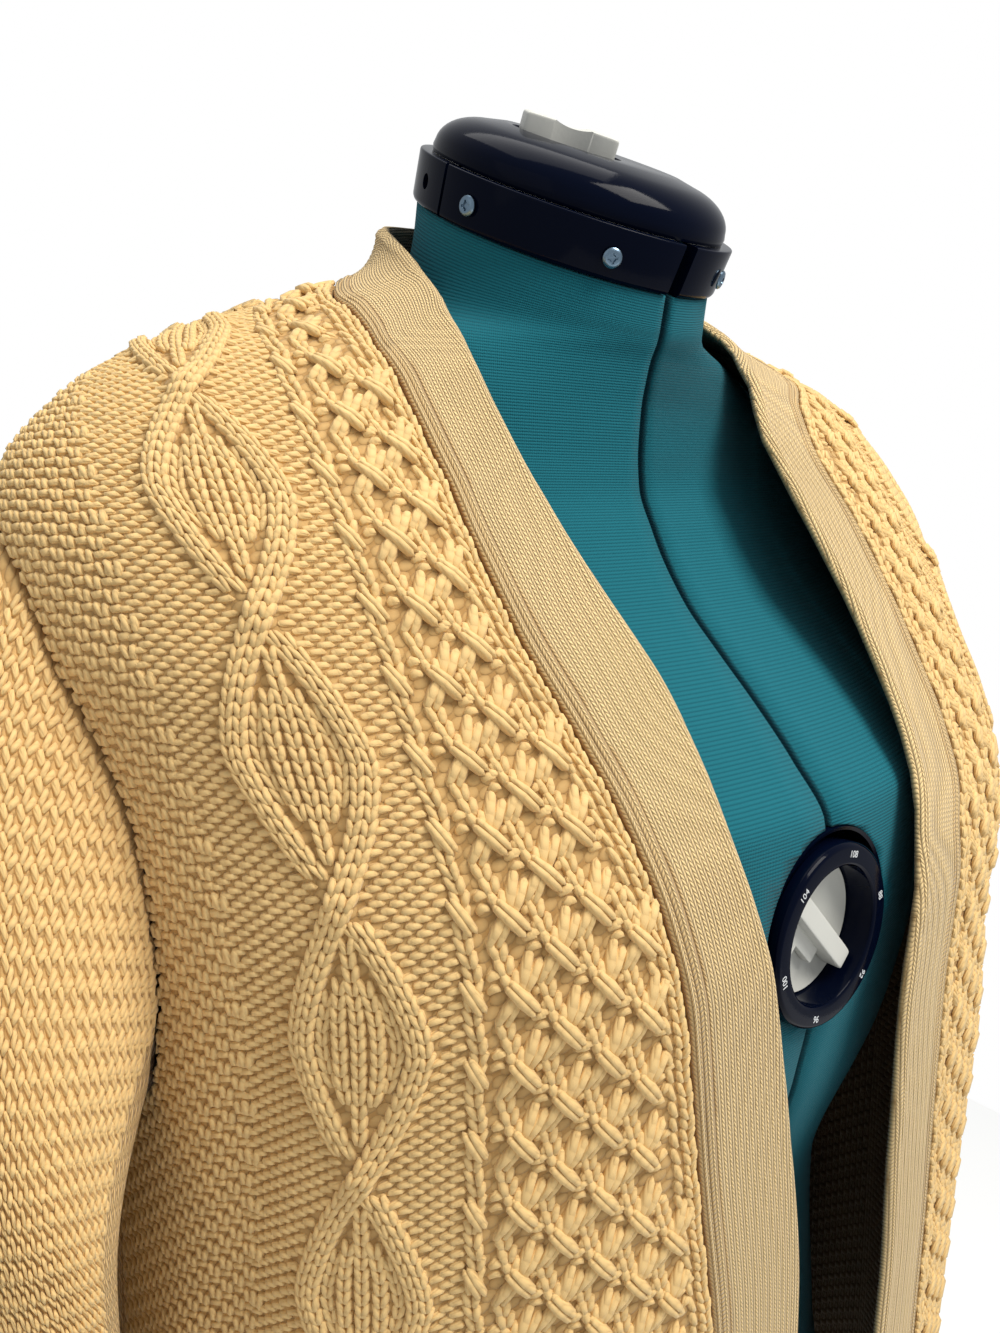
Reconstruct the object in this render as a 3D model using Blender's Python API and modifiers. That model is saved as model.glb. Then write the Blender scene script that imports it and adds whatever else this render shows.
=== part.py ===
"""Cable knit cardigan worn by an adjustable dress form.

The front faces -Y, the wearer's right is -X and +Z is up, with the origin on the floor under the middle of the part.
Tables and sizes are in millimetres, and the meshes are written in metres.

Every panel of the cardigan lies on one surface, the drape, whose level rings run round the form from the centre front
(0 degrees) over the side (90) to the centre back (180). A place on a panel is its length round the ring from the
centre front or back and its height. Cables and lattice are raised in a wall's outer points over a plain inside.
"""

from math import cos, pi, radians, sin, tan

import bmesh
import bpy
import numpy as np
from mathutils import Matrix, Vector

MM = 0.001
OBJECT = "cable_knit_cardigan"

# ---- Driving sizes of the cardigan ----
WALL = 3.0              # thickness of the knitted cloth
SEAM = 0.3              # gap between neighbouring pieces
HEM_END = 720.0         # height of the lower edge
HEM_RIB = 55.0          # height of the ribbed hem
NECK_POINT = 1427.5     # height where shoulder seam and band meet
ARMHOLE_TOP = 1348.0
WAIST = 1035.0
ARMHOLE_LOW = 1152.0
ARMHOLE_CUT = 42.0      # how far the armhole cuts into front and back
CUFF_END = 780.0
CUFF_RIB = 60.0

# ---- Stitch pattern ----
LEAF_LENGTH = 78.5      # from crossing to crossing of the leaf cable
LEAF_CROSSING = 1174.0  # height of one crossing on the front
LEAF_FRONT = 174.0      # its place from the centre front
LEAF_BACK = 150.0       # and from the centre back
LEAF_NARROW, LEAF_WIDE = 7.0, 17.5   # from the cable's middle to a cord's crest
CORD_FOOT = 5.0         # half width of one cord
CORD_RISE = 3.6
RIB_RISE = 1.4
LATTICE_RISE = 2.2
LATTICE_PITCH = 12.0    # between neighbouring crossings
LATTICE_EDGE = 143.0    # outer border of the front's lattice
BACK_LATTICE = 54.0     # half width of the back's lattice
BACK_PITCH = 18.0
ROWS_PER_LEAF = 6       # rows of points from crossing to crossing on the fronts
BACK_ROWS_PER_LEAF = 4  # and on the back and the sleeves
RIB_PITCH = 11.0        # hem and cuff ribs
BAND_NECK_ROWS = 9      # rows of the band from the neck point to the centre back
SHOULDER_ROWS = (1356.0, 1370.0, 1383.0, 1394.0, 1403.0, 1411.0, 1418.5, 1424.5)   # rows that meet at the shoulder
RIB_HEIGHT = 1.6

# The drape: height, half width, depth of the side line, front and back, and the rings' squareness.
DRAPE = (
    # z,    half,  side,  front,  back, power
    (720,   206.0, -18.0, -170.0, 131.0, 2.25),
    (900,   201.0, -18.0, -168.0, 127.0, 2.30),
    (1050,  196.0, -18.0, -167.0, 123.0, 2.35),
    (1150,  193.0, -18.0, -168.0, 121.0, 2.40),
    (1211,  194.0, -16.0, -168.0, 119.0, 2.40),
    (1240,  196.0, -13.0, -163.0, 116.0, 2.40),
    (1268,  200.0,  -9.0, -151.0, 111.0, 2.35),
    (1290,  206.0,  -5.0, -138.0, 106.0, 2.30),
    (1316,  213.0,  -1.0, -122.0, 100.0, 2.25),
    (1340,  214.0,   2.0, -107.0,  92.0, 2.15),
    (1362,  207.0,   5.0,  -93.0,  84.0, 2.00),
    (1381,  191.0,   7.0,  -82.0,  76.0, 1.85),
    (1398,  166.0,   9.0,  -73.0,  68.0, 1.70),
    (1407,  145.0,  10.0,  -67.0,  64.0, 1.60),
    (1417,  118.0,  10.0,  -64.0,  60.0, 1.55),
    (1428,   88.0,   8.0,  -65.0,  56.0, 1.60),
    (1436,   75.0,   7.0,  -68.0,  54.0, 1.75),
    (1445,   69.0,   6.0,  -72.0,  52.0, 1.90),
    (1458,   65.0,   6.0,  -74.0,  49.0, 2.00),
    (1476,   62.0,   6.0,  -76.0,  46.0, 2.00),
)

# The left shoulder is worn a little fuller and further forward: height and share of the fullness.
FULLNESS = ((1180, 0.0), (1262, 1.0), (1398, 0.95), (1416, 0.4), (1432, 0.0))
LEFT_WIDER, LEFT_FORWARD, LEFT_SQUARER = 12.0, 17.0, 0.12

# Soft upright folds below the chest: height and depth, and how many go round.
FOLDS = ((720, 4.0), (900, 2.6), (1130, 0.0))
FOLD_COUNT = 8

# The band up each front: height and place of its neck edge, height and place of its seam, from the centre front.
BAND_RIGHT = (
    # edge_z, edge, seam_z, seam
    (720,     8.0,  720,    50.0),
    (900,    10.0,  900,    52.0),
    (1040,   14.0, 1040,    57.0),
    (1093,   19.0, 1093,    62.0),
    (1160,   33.0, 1158,    73.0),
    (1225,   48.0, 1221,    82.0),
    (1255,   54.0, 1248,    87.0),
    (1299,   58.0, 1286,    95.0),
    (1331,   67.0, 1314,   103.0),
    (1369,   77.0, 1352,   108.0),
    (1402,   80.0, 1386,   104.0),
)
BAND_LEFT = (
    (720,    46.0,  720,    88.0),
    (900,    47.0,  900,    89.0),
    (1049,   47.0, 1049,    89.0),
    (1118,   39.0, 1118,    80.0),
    (1181,   35.0, 1180,    74.0),
    (1234,   43.0, 1230,    78.0),
    (1261,   53.0, 1254,    88.0),
    (1288,   57.0, 1280,    92.0),
    (1331,   55.0, 1318,    92.0),
    (1376,   50.0, 1362,    86.0),
    (1402,   62.0, 1388,    92.0),
)
# Round the neck both sides are alike: angle and height of the edge, angle and height of the seam.
BAND_NECK = (
    # edge_deg, edge_z, seam_deg, seam_z
    (53.0,  1420.0,  52.0, 1406.0),
    (80.0,  1440.0,  72.0, 1422.0),
    (96.0,  1447.0,  90.0, 1427.5),
    (130.0, 1457.0, 128.0, 1427.5),
    (180.0, 1464.0, 180.0, 1427.5),
)

# The sleeve below the armhole: height, outer and inner face, front and back, as lengths from the middle plane.
SLEEVE = (
    # z,    outer, inner, front, back
    (720,   243.0, 209.0, -50.0, 44.0),
    (838,   250.0, 208.0, -58.0, 50.0),
    (842,   254.0, 207.0, -68.0, 58.0),
    (950,   262.0, 207.0, -80.0, 66.0),
    (1060,  268.0, 205.0, -88.0, 72.0),
    (1150,  269.0, 203.0, -90.0, 74.0),
    (1250,  266.0, 203.0, -88.0, 72.0),
    (1348,  262.0, 203.0, -84.0, 68.0),
)
SLEEVE_EASE = 130.0     # drop over which the sleeve leaves the armhole's shape at its top
UNDERARM_EASE = 14.0    # and under the arm

# ---- The dress form ----
TORSO = (
    # z,    half,  side,  front,  back,  power, lean
    (800,   170.0,  -8.0, -130.0, 120.0, 2.30, 0.0),
    (880,   172.0,  -8.0, -132.0, 120.0, 2.30, 0.0),
    (960,   158.0, -10.0, -128.0, 110.0, 2.20, 0.0),
    (1060,  140.0, -14.0, -126.0,  98.0, 2.20, 0.0),
    (1153,  164.0, -16.0, -148.0, 106.0, 2.35, 0.0),
    (1211,  169.0, -16.0, -155.0, 108.0, 2.40, 0.0),
    (1250,  173.0, -13.0, -152.0, 105.0, 2.40, 0.0),
    (1268,  176.0, -10.0, -138.0, 101.0, 2.30, 0.0),
    (1286,  180.0,  -7.0, -120.0,  97.0, 2.20, 0.0),
    (1300,  183.0,  -5.0, -104.6,  94.0, 2.10, 0.0),
    (1316,  187.0,  -3.0,  -88.0,  90.0, 2.00, 0.0),
    (1340,  191.0,   0.0,  -71.5,  82.0, 1.85, 0.0),
    (1360,  191.0,   3.0,  -63.5,  74.0, 1.70, 0.04),
    (1376,  183.0,   6.0,  -62.3,  66.0, 1.55, 0.08),
    (1393,  166.9,   8.0,  -63.0,  59.0, 1.50, 0.10),
    (1403,  145.2,   9.0,  -64.5,  55.0, 1.50, 0.12),
    (1413,  117.8,   6.0,  -66.5,  50.6, 1.53, 0.15),
    (1425,   66.0,  -6.0,  -69.5,  45.8, 1.92, 0.25),
    (1437,   60.0, -13.0,  -70.5,  44.0, 2.00, 0.40),
    (1450,   58.6, -15.0,  -71.8,  41.8, 2.00, 0.456),
)
TORSO_COLUMNS = 24
GROOVE_HALF, GROOVE_DEEP = 2.4, 7.0     # the gap between the form's front halves

NECK_Y, NECK_Z = -15.0, 1450.0          # middle of the collar's lower edge
NECK_TILT = radians(24.5)               # the collar's top leans to the front
COLLAR_WIDE, COLLAR_DEEP, COLLAR_HIGH = 60.4, 63.2, 18.0
COLLAR_WALL = 6.0
CAP_HIGH = 17.0
CAP_STEP = 1.6                          # how far the cap stands in from the collar's outside
KNOB = (40.0, 12.0, 10.0)               # length, thickness and height of the white bar
KNOB_SHIFT = -10.0                      # its place off the cap's middle
KNOB_TURN = radians(-40.0)
SCREW_RADIUS = 3.4
SCREW_ANGLES = (168.0, 118.0, 62.0, 12.0, 242.0, 298.0)   # round the collar from the left, over the front

DIAL_Y, DIAL_Z = -157.0, 1211.0         # front face of the dial
DIAL_RADIUS, DIAL_HOLE, DIAL_RING = 32.5, 24.6, 5.0
DIAL_BACK = 12.0                        # from the ring's face to the dish's face
DIAL_POCKET = 36.5
TWIST_BAR = (44.0, 11.0, 8.0)
TWIST_TURN = radians(36.0)

POLE_RADIUS, POLE_FOOT = 14.0, 22.0
BASE_RADIUS, BASE_HIGH = 205.0, 22.0


# ---- Curves and surfaces ----

def smooth(x, knots, values):
    """Reads a table at x along a monotone cubic through its knots."""
    knots, values = np.asarray(knots, float), np.asarray(values, float)
    step = np.diff(knots)
    slope = np.diff(values) / step
    before, after = slope[:-1], slope[1:]
    wide, narrow = 2 * step[1:] + step[:-1], step[1:] + 2 * step[:-1]
    level = before * after <= 0
    mean = (wide + narrow) / (wide / np.where(level, 1, before) + narrow / np.where(level, 1, after))
    tangent = np.concatenate([slope[:1], np.where(level, 0.0, mean), slope[-1:]])
    x = np.clip(np.asarray(x, float), knots[0], knots[-1])
    i = np.clip(np.searchsorted(knots, x) - 1, 0, len(knots) - 2)
    t = (x - knots[i]) / step[i]
    return ((1 + 2 * t) * (1 - t) ** 2 * values[i] + t * (1 - t) ** 2 * step[i] * tangent[i]
            + t * t * (3 - 2 * t) * values[i + 1] + t * t * (t - 1) * step[i] * tangent[i + 1])


def columns_of(table):
    """The table's columns as arrays."""
    return np.array(table, float).T


def superellipse(angle, half, side, front, back, power):
    """Point of a ring at an angle: 0 is the centre front, pi / 2 the right side, pi the centre back."""
    s, c = np.sin(angle), np.cos(angle)
    reach = np.where(c >= 0, side - front, back - side)
    x = -half * np.sign(s) * np.abs(s) ** (2 / power)
    y = side - reach * np.sign(c) * np.abs(c) ** (2 / power)
    return x, y


def drape_point(angle, z):
    """Point of the cardigan's outer surface, before its cables, at an angle and a height."""
    heights, *values = columns_of(DRAPE)
    half, side, front, back, power = (smooth(z, heights, column) for column in values)
    share = smooth(z, *columns_of(FULLNESS)) * np.where(np.sin(angle) < 0, np.abs(np.sin(angle)), 0.0) ** 0.7
    fold = -smooth(z, *columns_of(FOLDS)) * np.cos(FOLD_COUNT * angle)
    x, y = superellipse(angle, half + LEFT_WIDER * share + fold, side - LEFT_FORWARD * share, front - fold,
                        back + fold, power + LEFT_SQUARER * share)
    return np.stack(np.broadcast_arrays(x, y, z), -1)


def drape_normal(angle, z):
    """Outward direction of the drape, from differences over 2 mm."""
    turn = 0.004
    along = drape_point(angle + turn, z) - drape_point(angle - turn, z)
    up = drape_point(angle, z + 1) - drape_point(angle, z - 1)
    normal = np.cross(up, along)
    return normal / np.maximum(np.linalg.norm(normal, axis=-1, keepdims=True), 1e-9)


def ring_lengths(z, start, end):
    """Angles from start to end at one height, and the length walked along the ring to each."""
    angle = np.linspace(start, end, 361)
    points = drape_point(angle, float(z))
    return angle, np.concatenate([[0.0], np.cumsum(np.linalg.norm(np.diff(points, axis=0), axis=1))])


def angle_at(length, z, side, from_back=False):
    """Angle of the point that lies a length from the centre front, or back, on one side."""
    start = pi if from_back else 0.0
    angle, walked = ring_lengths(z, side * start, side * pi / 2)
    return np.interp(length, walked, angle)


def armhole_cut(z):
    """How far the armhole cuts into front or back at a height."""
    middle, half = (ARMHOLE_TOP + ARMHOLE_LOW) / 2, (ARMHOLE_TOP - ARMHOLE_LOW) / 2
    return ARMHOLE_CUT * np.sqrt(np.maximum(1 - ((z - middle) / half) ** 2, 0.0))


def side_edge(z, side, from_back=False):
    """Length from the centre front, or back, to the side seam or the armhole."""
    _, walked = ring_lengths(z, side * (pi if from_back else 0.0), side * pi / 2)
    return walked[-1] - armhole_cut(z) - SEAM / 2


# ---- Stitch pattern, as a rise of the outer points ----

def column_length(place, side, from_back):
    """Heights up the panel and the cloth's length along one column, 0 at the leaf cable's crossing."""
    z = np.arange(HEM_END, NECK_POINT, 6.0)
    angle = np.array([angle_at(place, height, side, from_back) for height in z])
    walked = np.concatenate([[0.0], np.cumsum(np.linalg.norm(np.diff(drape_point(angle, z), axis=0), axis=1))])
    return z, walked - np.interp(LEAF_CROSSING, z, walked)


def leaf_half(length):
    """From the leaf cable's middle to a cord's crest, narrow at each crossing."""
    return LEAF_NARROW + (LEAF_WIDE - LEAF_NARROW) * np.abs(np.sin(pi * length / LEAF_LENGTH)) ** 0.8


def leaf_columns(middle, length, inner_feet=True):
    """Places across a leaf cable, and the rise of each."""
    half = leaf_half(length)
    places = [-half - CORD_FOOT, -half, -half + CORD_FOOT, 0.0, half - CORD_FOOT, half, half + CORD_FOOT]
    rises = [0.0, CORD_RISE, 0.2, RIB_RISE, 0.2, CORD_RISE, 0.0]
    kept = range(7) if inner_feet else (0, 1, 3, 5, 6)
    return [(middle + places[k], rises[k]) for k in kept]


def lattice_columns(start, end, row, pitch):
    """Places across a lattice between two borders, raised where strands cross."""
    count = max(int(round((end - start) / pitch)), 1)
    places = start + (end - start) * np.arange(count + 1) / count
    return [(place, LATTICE_RISE if (number + row) % 2 else 0.3) for number, place in enumerate(places)]


def fitted(row, low, high, least=3.0):
    """Keeps a row's places between its two edges, which close it flush with the wall."""
    inside = [(place, rise) for place, rise in row if low + least < place < high - least]
    return [(low, 0.0)] + inside + [(high, 0.0)]


# ---- Meshes ----

class Mesh:
    """Collects points and triangles of one closed solid, in millimetres."""

    def __init__(self):
        self.points, self.faces = [], []

    def row(self, points):
        """Adds a row of points and gives their numbers."""
        start = len(self.points)
        self.points.extend(map(tuple, points))
        return list(range(start, len(self.points)))

    def zip(self, lower, upper, lower_at, upper_at):
        """Fills between two rows with triangles, walking along whichever is behind."""
        i = j = 0
        while i < len(lower) - 1 or j < len(upper) - 1:
            if j == len(upper) - 1 or (i < len(lower) - 1 and lower_at[i + 1] <= upper_at[j + 1]):
                self.faces.append((lower[i], lower[i + 1], upper[j]))
                i += 1
            else:
                self.faces.append((lower[i], upper[j + 1], upper[j]))
                j += 1

    def sheet(self, rows):
        """Fills between consecutive rows, each a pair of numbers and places."""
        for (lower, lower_at), (upper, upper_at) in zip(rows, rows[1:]):
            self.zip(lower, upper, lower_at, upper_at)

    def object(self, name, material):
        """Makes the object, with its faces turned out."""
        data = bpy.data.meshes.new(name)
        data.from_pydata([tuple(MM * value for value in point) for point in self.points], [], self.faces)
        shape = bmesh.new()
        shape.from_mesh(data)
        bmesh.ops.remove_doubles(shape, verts=shape.verts, dist=1e-6)
        bmesh.ops.recalc_face_normals(shape, faces=shape.faces)
        if shape.calc_volume(signed=True) < 0:
            bmesh.ops.reverse_faces(shape, faces=shape.faces)
        shape.to_mesh(data)
        shape.free()
        return dress(bpy.data.objects.new(name, data), material)


def walled(name, material, outer_rows, inner_rows, heights, inner_heights, closed=False):
    """A wall between an outer and an inner surface, each given as rows of (places, points).

    An open panel is also closed along its two sides; a tube's rows end where they start.
    """
    mesh = Mesh()

    def rows_of(rows):
        made = []
        for places, points in rows:
            numbers = mesh.row(points[:-1] if closed else points)
            made.append((numbers + numbers[:1] if closed else numbers, list(places)))
        return made

    outer, inner = rows_of(outer_rows), rows_of(inner_rows)
    mesh.sheet(outer)
    mesh.sheet(inner)
    for end in (0, -1):
        mesh.zip(outer[end][0], inner[end][0], outer[end][1], inner[end][1])
    if not closed:
        for end in (0, -1):
            mesh.zip([row[0][end] for row in outer], [row[0][end] for row in inner], heights, inner_heights)
    return mesh.object(name, material)


def panel_row(row, z, side, from_back, depth):
    """Places along a ring and their points, raised by each place's rise less a depth into the wall."""
    places = np.array([place for place, _ in row])
    rise = np.array([0.0 if depth else rise for _, rise in row])
    angle = angle_at(places, z, side, from_back)
    height = np.full(angle.shape, float(z))
    return places, drape_point(angle, height) + (rise - depth)[:, None] * drape_normal(angle, height)


def panel_heights(place, side, from_back):
    """Heights of a panel's rows: even along its leaf cable, and set ones at the armhole and the shoulder."""
    column_z, column_walk = column_length(place, side, from_back)
    step = LEAF_LENGTH / (BACK_ROWS_PER_LEAF if from_back else ROWS_PER_LEAF)
    low = HEM_END + HEM_RIB + SEAM
    first = np.ceil(np.interp(low, column_z, column_walk) / step + 0.4)
    even = [z for z in np.interp(step * np.arange(first, 40), column_walk, column_z) if z < ARMHOLE_TOP - 4
            and abs(z - ARMHOLE_LOW) > 5]
    return sorted([low, ARMHOLE_LOW, ARMHOLE_TOP, *even, *SHOULDER_ROWS]), column_z, column_walk


def plain_heights(heights):
    """Heights of a panel's rows on its plain inside: all from the waist up, every third below it."""
    below = [z for z in heights if z < WAIST]
    return below[::3] + [z for z in heights if z >= WAIST]


def seam_curve(table, side):
    """Height against place of a front's band seam, up to the neck point."""
    angles, heights = [], []
    for _, _, seam_z, seam in table:
        heights.append(seam_z)
        angles.append(abs(float(angle_at(seam, seam_z, side))))
    for _, _, seam_deg, seam_z in BAND_NECK[:2]:
        heights.append(seam_z)
        angles.append(radians(seam_deg))
    heights.append(NECK_POINT)
    angles.append(pi / 2)
    return heights, angles


def front(name, material, side, table):
    """One front: lattice beside the band, a leaf cable, and moss to the side seam."""
    seam_z, seam_angle = seam_curve(table, side)
    heights, column_z, column_walk = panel_heights(LEAF_FRONT, side, False)

    def edges(z):
        angle, walked = ring_lengths(z, 0.0, side * pi / 2)
        near = np.interp(smooth(z, seam_z, seam_angle), np.abs(angle), walked) + SEAM / 2
        return near, max(side_edge(z, side), near + 1.5)

    outer = []
    for number, z in enumerate(heights):
        near, far = edges(z)
        length = np.interp(z, column_z, column_walk)
        row = lattice_columns(near, LATTICE_EDGE, number, LATTICE_PITCH) if near < LATTICE_EDGE - 8 else []
        row += leaf_columns(LEAF_FRONT, length)
        row += [(place, 0.0) for place in (216.0, 238.0, 262.0)]
        outer.append(panel_row(fitted(row, near, far), z, side, False, 0.0))
    inner = []
    for z in plain_heights(heights):
        near, far = edges(z)
        row = [(place, 0.0) for place in np.linspace(near, far, 8)]
        inner.append(panel_row(row, z, side, False, WALL))
    return walled(name, material, outer, inner, heights, plain_heights(heights))


def back(name, material):
    """The back: lattice in the middle, a leaf cable each side, and moss to the side seams."""
    heights, column_z, column_walk = panel_heights(LEAF_BACK, 1, True)
    high = NECK_POINT - SEAM / 2
    heights.append(high)

    def neck_row(side, depth):
        """The top row of one half, at the band's own points."""
        angle, walked = ring_lengths(high, side * pi, side * pi / 2)
        seam = [abs(turn) for turn in band_side(BAND_RIGHT if side > 0 else BAND_LEFT, side)[1][-BAND_NECK_ROWS:-1, 2]]
        places = np.interp([-turn for turn in seam], -np.abs(angle), walked)
        places[0] -= SEAM / 2
        return panel_row([(place, 0.0) for place in places[::-1]], high, side, True, depth)

    def half_row(number, z, side):
        far = side_edge(z, side, True)
        row = [pair for pair in lattice_columns(-BACK_LATTICE, BACK_LATTICE, number, BACK_PITCH) if pair[0] > 1]
        row += leaf_columns(LEAF_BACK, np.interp(z, column_z, column_walk), False)
        row += [(place, 0.0) for place in (BACK_LATTICE + 30, 195.0, 225.0)]
        return sorted(fitted(sorted(row), 0.0, far))[1:]

    def joined(left, middle, right):
        """One row from the left side to the right, its places negative on the left."""
        places = np.concatenate([-left[0][::-1], middle[0], right[0]])
        return places, np.concatenate([left[1][::-1], middle[1], right[1]])

    outer, inner = [], []
    for number, z in enumerate(heights[:-1]):
        middle = panel_row([(0.0, 0.3 if number % 2 else LATTICE_RISE)], z, 1, True, 0.0)
        outer.append(joined(panel_row(half_row(number, z, -1), z, -1, True, 0.0), middle,
                            panel_row(half_row(number, z, 1), z, 1, True, 0.0)))
    inner_heights = plain_heights(heights)
    for z in inner_heights[:-1]:
        halves = []
        for side in (-1, 1):
            far = side_edge(z, side, True)
            halves.append(panel_row([(far * k / 7, 0.0) for k in range(1, 8)], z, side, True, WALL))
        inner.append(joined(halves[0], panel_row([(0.0, 0.0)], z, 1, True, WALL), halves[1]))
    for rows, depth in ((outer, 0.0), (inner, WALL)):
        middle = panel_row([(0.0, 0.0)], high, 1, True, depth)
        rows.append(joined(neck_row(-1, depth), middle, neck_row(1, depth)))
    return walled(name, material, outer, inner, heights, inner_heights)


def ribbed_strip(name, material, starts, ends):
    """A ribbed hem between the angles of its two ends at its foot and its top, with a plain inside."""
    outer, inner = [], []
    ribs = None
    for z, start, end in zip((HEM_END, HEM_END + HEM_RIB), starts, ends):
        angle, walked = ring_lengths(z, start, end)
        ribs = ribs or int(round(walked[-1] / RIB_PITCH))
        for rows, count, depth in ((outer, 2 * ribs + 1, 0.0), (inner, ribs // 4, WALL)):
            share = np.linspace(0, 1, count)
            at = np.interp(SEAM / 2 + share * (walked[-1] - SEAM), walked, angle)
            height = np.full(at.shape, float(z))
            rise = np.where(np.arange(count) % 2, RIB_HEIGHT, 0.0) * (depth == 0) - depth
            rows.append((share, drape_point(at, height) + rise[:, None] * drape_normal(at, height)))
    return walled(name, material, outer, inner, (0, 1), (0, 1))


def band_side(table, side):
    """Walked length, angles and heights of the band's edge and seam on one side, from the hem to the centre back."""
    rows = [(float(angle_at(edge, edge_z, side)), edge_z, float(angle_at(seam, seam_z, side)), seam_z)
            for edge_z, edge, seam_z, seam in table]
    rows += [(side * radians(edge_deg), edge_z, side * radians(seam_deg), seam_z)
             for edge_deg, edge_z, seam_deg, seam_z in BAND_NECK]
    rows = np.array(rows)
    middle = drape_point(rows[:, (0, 2)].mean(1), rows[:, (1, 3)].mean(1))
    walked = np.concatenate([[0.0], np.cumsum(np.linalg.norm(np.diff(middle, axis=0), axis=1))])
    neck_point = walked[-3]
    dense = np.linspace(0, neck_point, 2000)
    heights = [HEM_END, HEM_END + HEM_RIB, *panel_heights(LEAF_FRONT, side, False)[0][1:], NECK_POINT]
    at = np.concatenate([np.interp(heights, smooth(dense, walked, rows[:, 3]), dense),
                         np.linspace(neck_point, walked[-1], BAND_NECK_ROWS)[1:]])
    table_at = np.stack([smooth(at, walked, rows[:, k]) for k in range(4)], 1)
    # Below the neck point the seam keeps to the front's own seam line.
    seam_z, seam_angle = seam_curve(table, side)
    on_front = np.arange(len(at)) < len(heights)
    table_at[on_front, 3] = heights
    table_at[on_front, 2] = side * smooth(table_at[on_front, 3], seam_z, seam_angle)
    return at, table_at


def band(name, material):
    """The front and neck band, one strip from hem to hem round the back neck."""
    right_at, right = band_side(BAND_RIGHT, 1)
    left_at, left = band_side(BAND_LEFT, -1)
    left[:, 0::2] += 2 * pi
    table = np.concatenate([right, left[-2::-1]])
    at = np.concatenate([right_at, right_at[-1] + left_at[-1] - left_at[-2::-1]])
    # The seam edge stands the seam's gap off the panels.
    width = np.linalg.norm(drape_point(table[:, 0], table[:, 1]) - drape_point(table[:, 2], table[:, 3]), axis=1)
    share = SEAM / width
    outer, inner = [], []
    for number, (edge, edge_z, seam, seam_z) in enumerate(table):
        across = np.array([0.0, 0.5, 1.0 - share[number]])
        angle, height = edge + (seam - edge) * across, edge_z + (seam_z - edge_z) * across
        point, normal = drape_point(angle, height), drape_normal(angle, height)
        outer.append((across, point + 0.4 * normal))
        inner.append((across[::2], (point - WALL * normal)[::2]))
    return walled(name, material, outer, inner, at, at)


# ---- Sleeves ----

def armhole_places(turn, side):
    """Points of the sleeve's edge in the armhole, the drape's direction there, and heights, by turn.

    Turn 0 is the top, pi / 2 the front and pi the underarm. The edge stands the seam's gap inside the armhole.
    """
    middle, half = (ARMHOLE_TOP + ARMHOLE_LOW) / 2, (ARMHOLE_TOP - ARMHOLE_LOW) / 2
    out_cut, out_z = np.abs(np.sin(turn)) / ARMHOLE_CUT, np.cos(turn) / half
    gap = 1.3 * SEAM / np.hypot(out_cut, out_z)
    cuts = np.maximum(ARMHOLE_CUT * np.abs(np.sin(turn)) - gap * out_cut, 0.0)
    heights = middle + half * np.cos(turn) - gap * out_z
    angles = []
    for height, cut, at in zip(heights, cuts, turn):
        from_back = at > pi
        angle, walked = ring_lengths(height, side * (pi if from_back else 0.0), side * pi / 2)
        angles.append(float(np.interp(walked[-1] - cut, walked, angle)))
    angles = np.array(angles)
    return drape_point(angles, heights), drape_normal(angles, heights), heights


def tube_point(turn, z, side):
    """Point of the hanging sleeve's outer surface at a turn and a height."""
    heights, outer, inner, front_y, back_y = columns_of(SLEEVE)
    outer, inner, front_y, back_y = (smooth(z, heights, column) for column in (outer, inner, front_y, back_y))
    bulge = 2 / 2.3
    x = (outer + inner) / 2 + (outer - inner) / 2 * np.sign(np.cos(turn)) * np.abs(np.cos(turn)) ** bulge
    y = (front_y + back_y) / 2 - (back_y - front_y) / 2 * np.sign(np.sin(turn)) * np.abs(np.sin(turn)) ** bulge
    return np.stack([-side * x, y, z], -1)


def sleeve_rings(side, shares):
    """The sleeve's rings from the armhole to the cuff, and their outward directions.

    Each line round the armhole runs down to the cuff, easing from the armhole's place to the tube's.
    """
    turn = np.linspace(0, 2 * pi, 241)
    start, edge_normal, start_z = armhole_places(turn, side)
    ease_drop = UNDERARM_EASE + (SLEEVE_EASE - UNDERARM_EASE) * ((1 + np.cos(turn)) / 2) ** 0.7
    end = CUFF_END + CUFF_RIB + SEAM
    points = []
    for share in shares:
        z = start_z + (end - start_z) * share
        fallen = np.clip((start_z - z) / ease_drop, 0, 1)
        ease = (1 - (1 - fallen) ** 2.2)[:, None]
        points.append(np.concatenate([(start + (tube_point(turn, z, side) - start) * ease)[:, :2], z[:, None]], 1))
    points = np.array(points)
    around = np.gradient(points, axis=1)
    around[:, 0] = around[:, -1] = (points[:, 1] - points[:, -2]) / 2
    normal = np.cross(around, np.gradient(points, axis=0)) * side
    normal[-1, :, 2] = 0.0
    normal /= np.maximum(np.linalg.norm(normal, axis=2, keepdims=True), 1e-9)
    normal[0] = edge_normal
    return turn, points, normal


def tube_row(points, normal, row, depth):
    """Samples a ring at places from its outermost line, raised by each place's rise less a depth."""
    walked = np.concatenate([[0.0], np.cumsum(np.linalg.norm(np.diff(points, axis=0), axis=1))])
    turn = walked[-1]
    places = np.array([place % turn for place, _ in row])
    order = np.argsort(places)
    places = places[order]
    rise = np.array([rise for _, rise in row])[order] * (depth == 0) - depth
    sampled = np.stack([np.interp(places, walked, points[:, k]) for k in range(3)], 1)
    facing = np.stack([np.interp(places, walked, normal[:, k]) for k in range(3)], 1)
    facing /= np.linalg.norm(facing, axis=1, keepdims=True)
    made = sampled + rise[:, None] * facing
    return np.append(places / turn, places[0] / turn + 1), np.concatenate([made, made[:1]])


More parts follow.
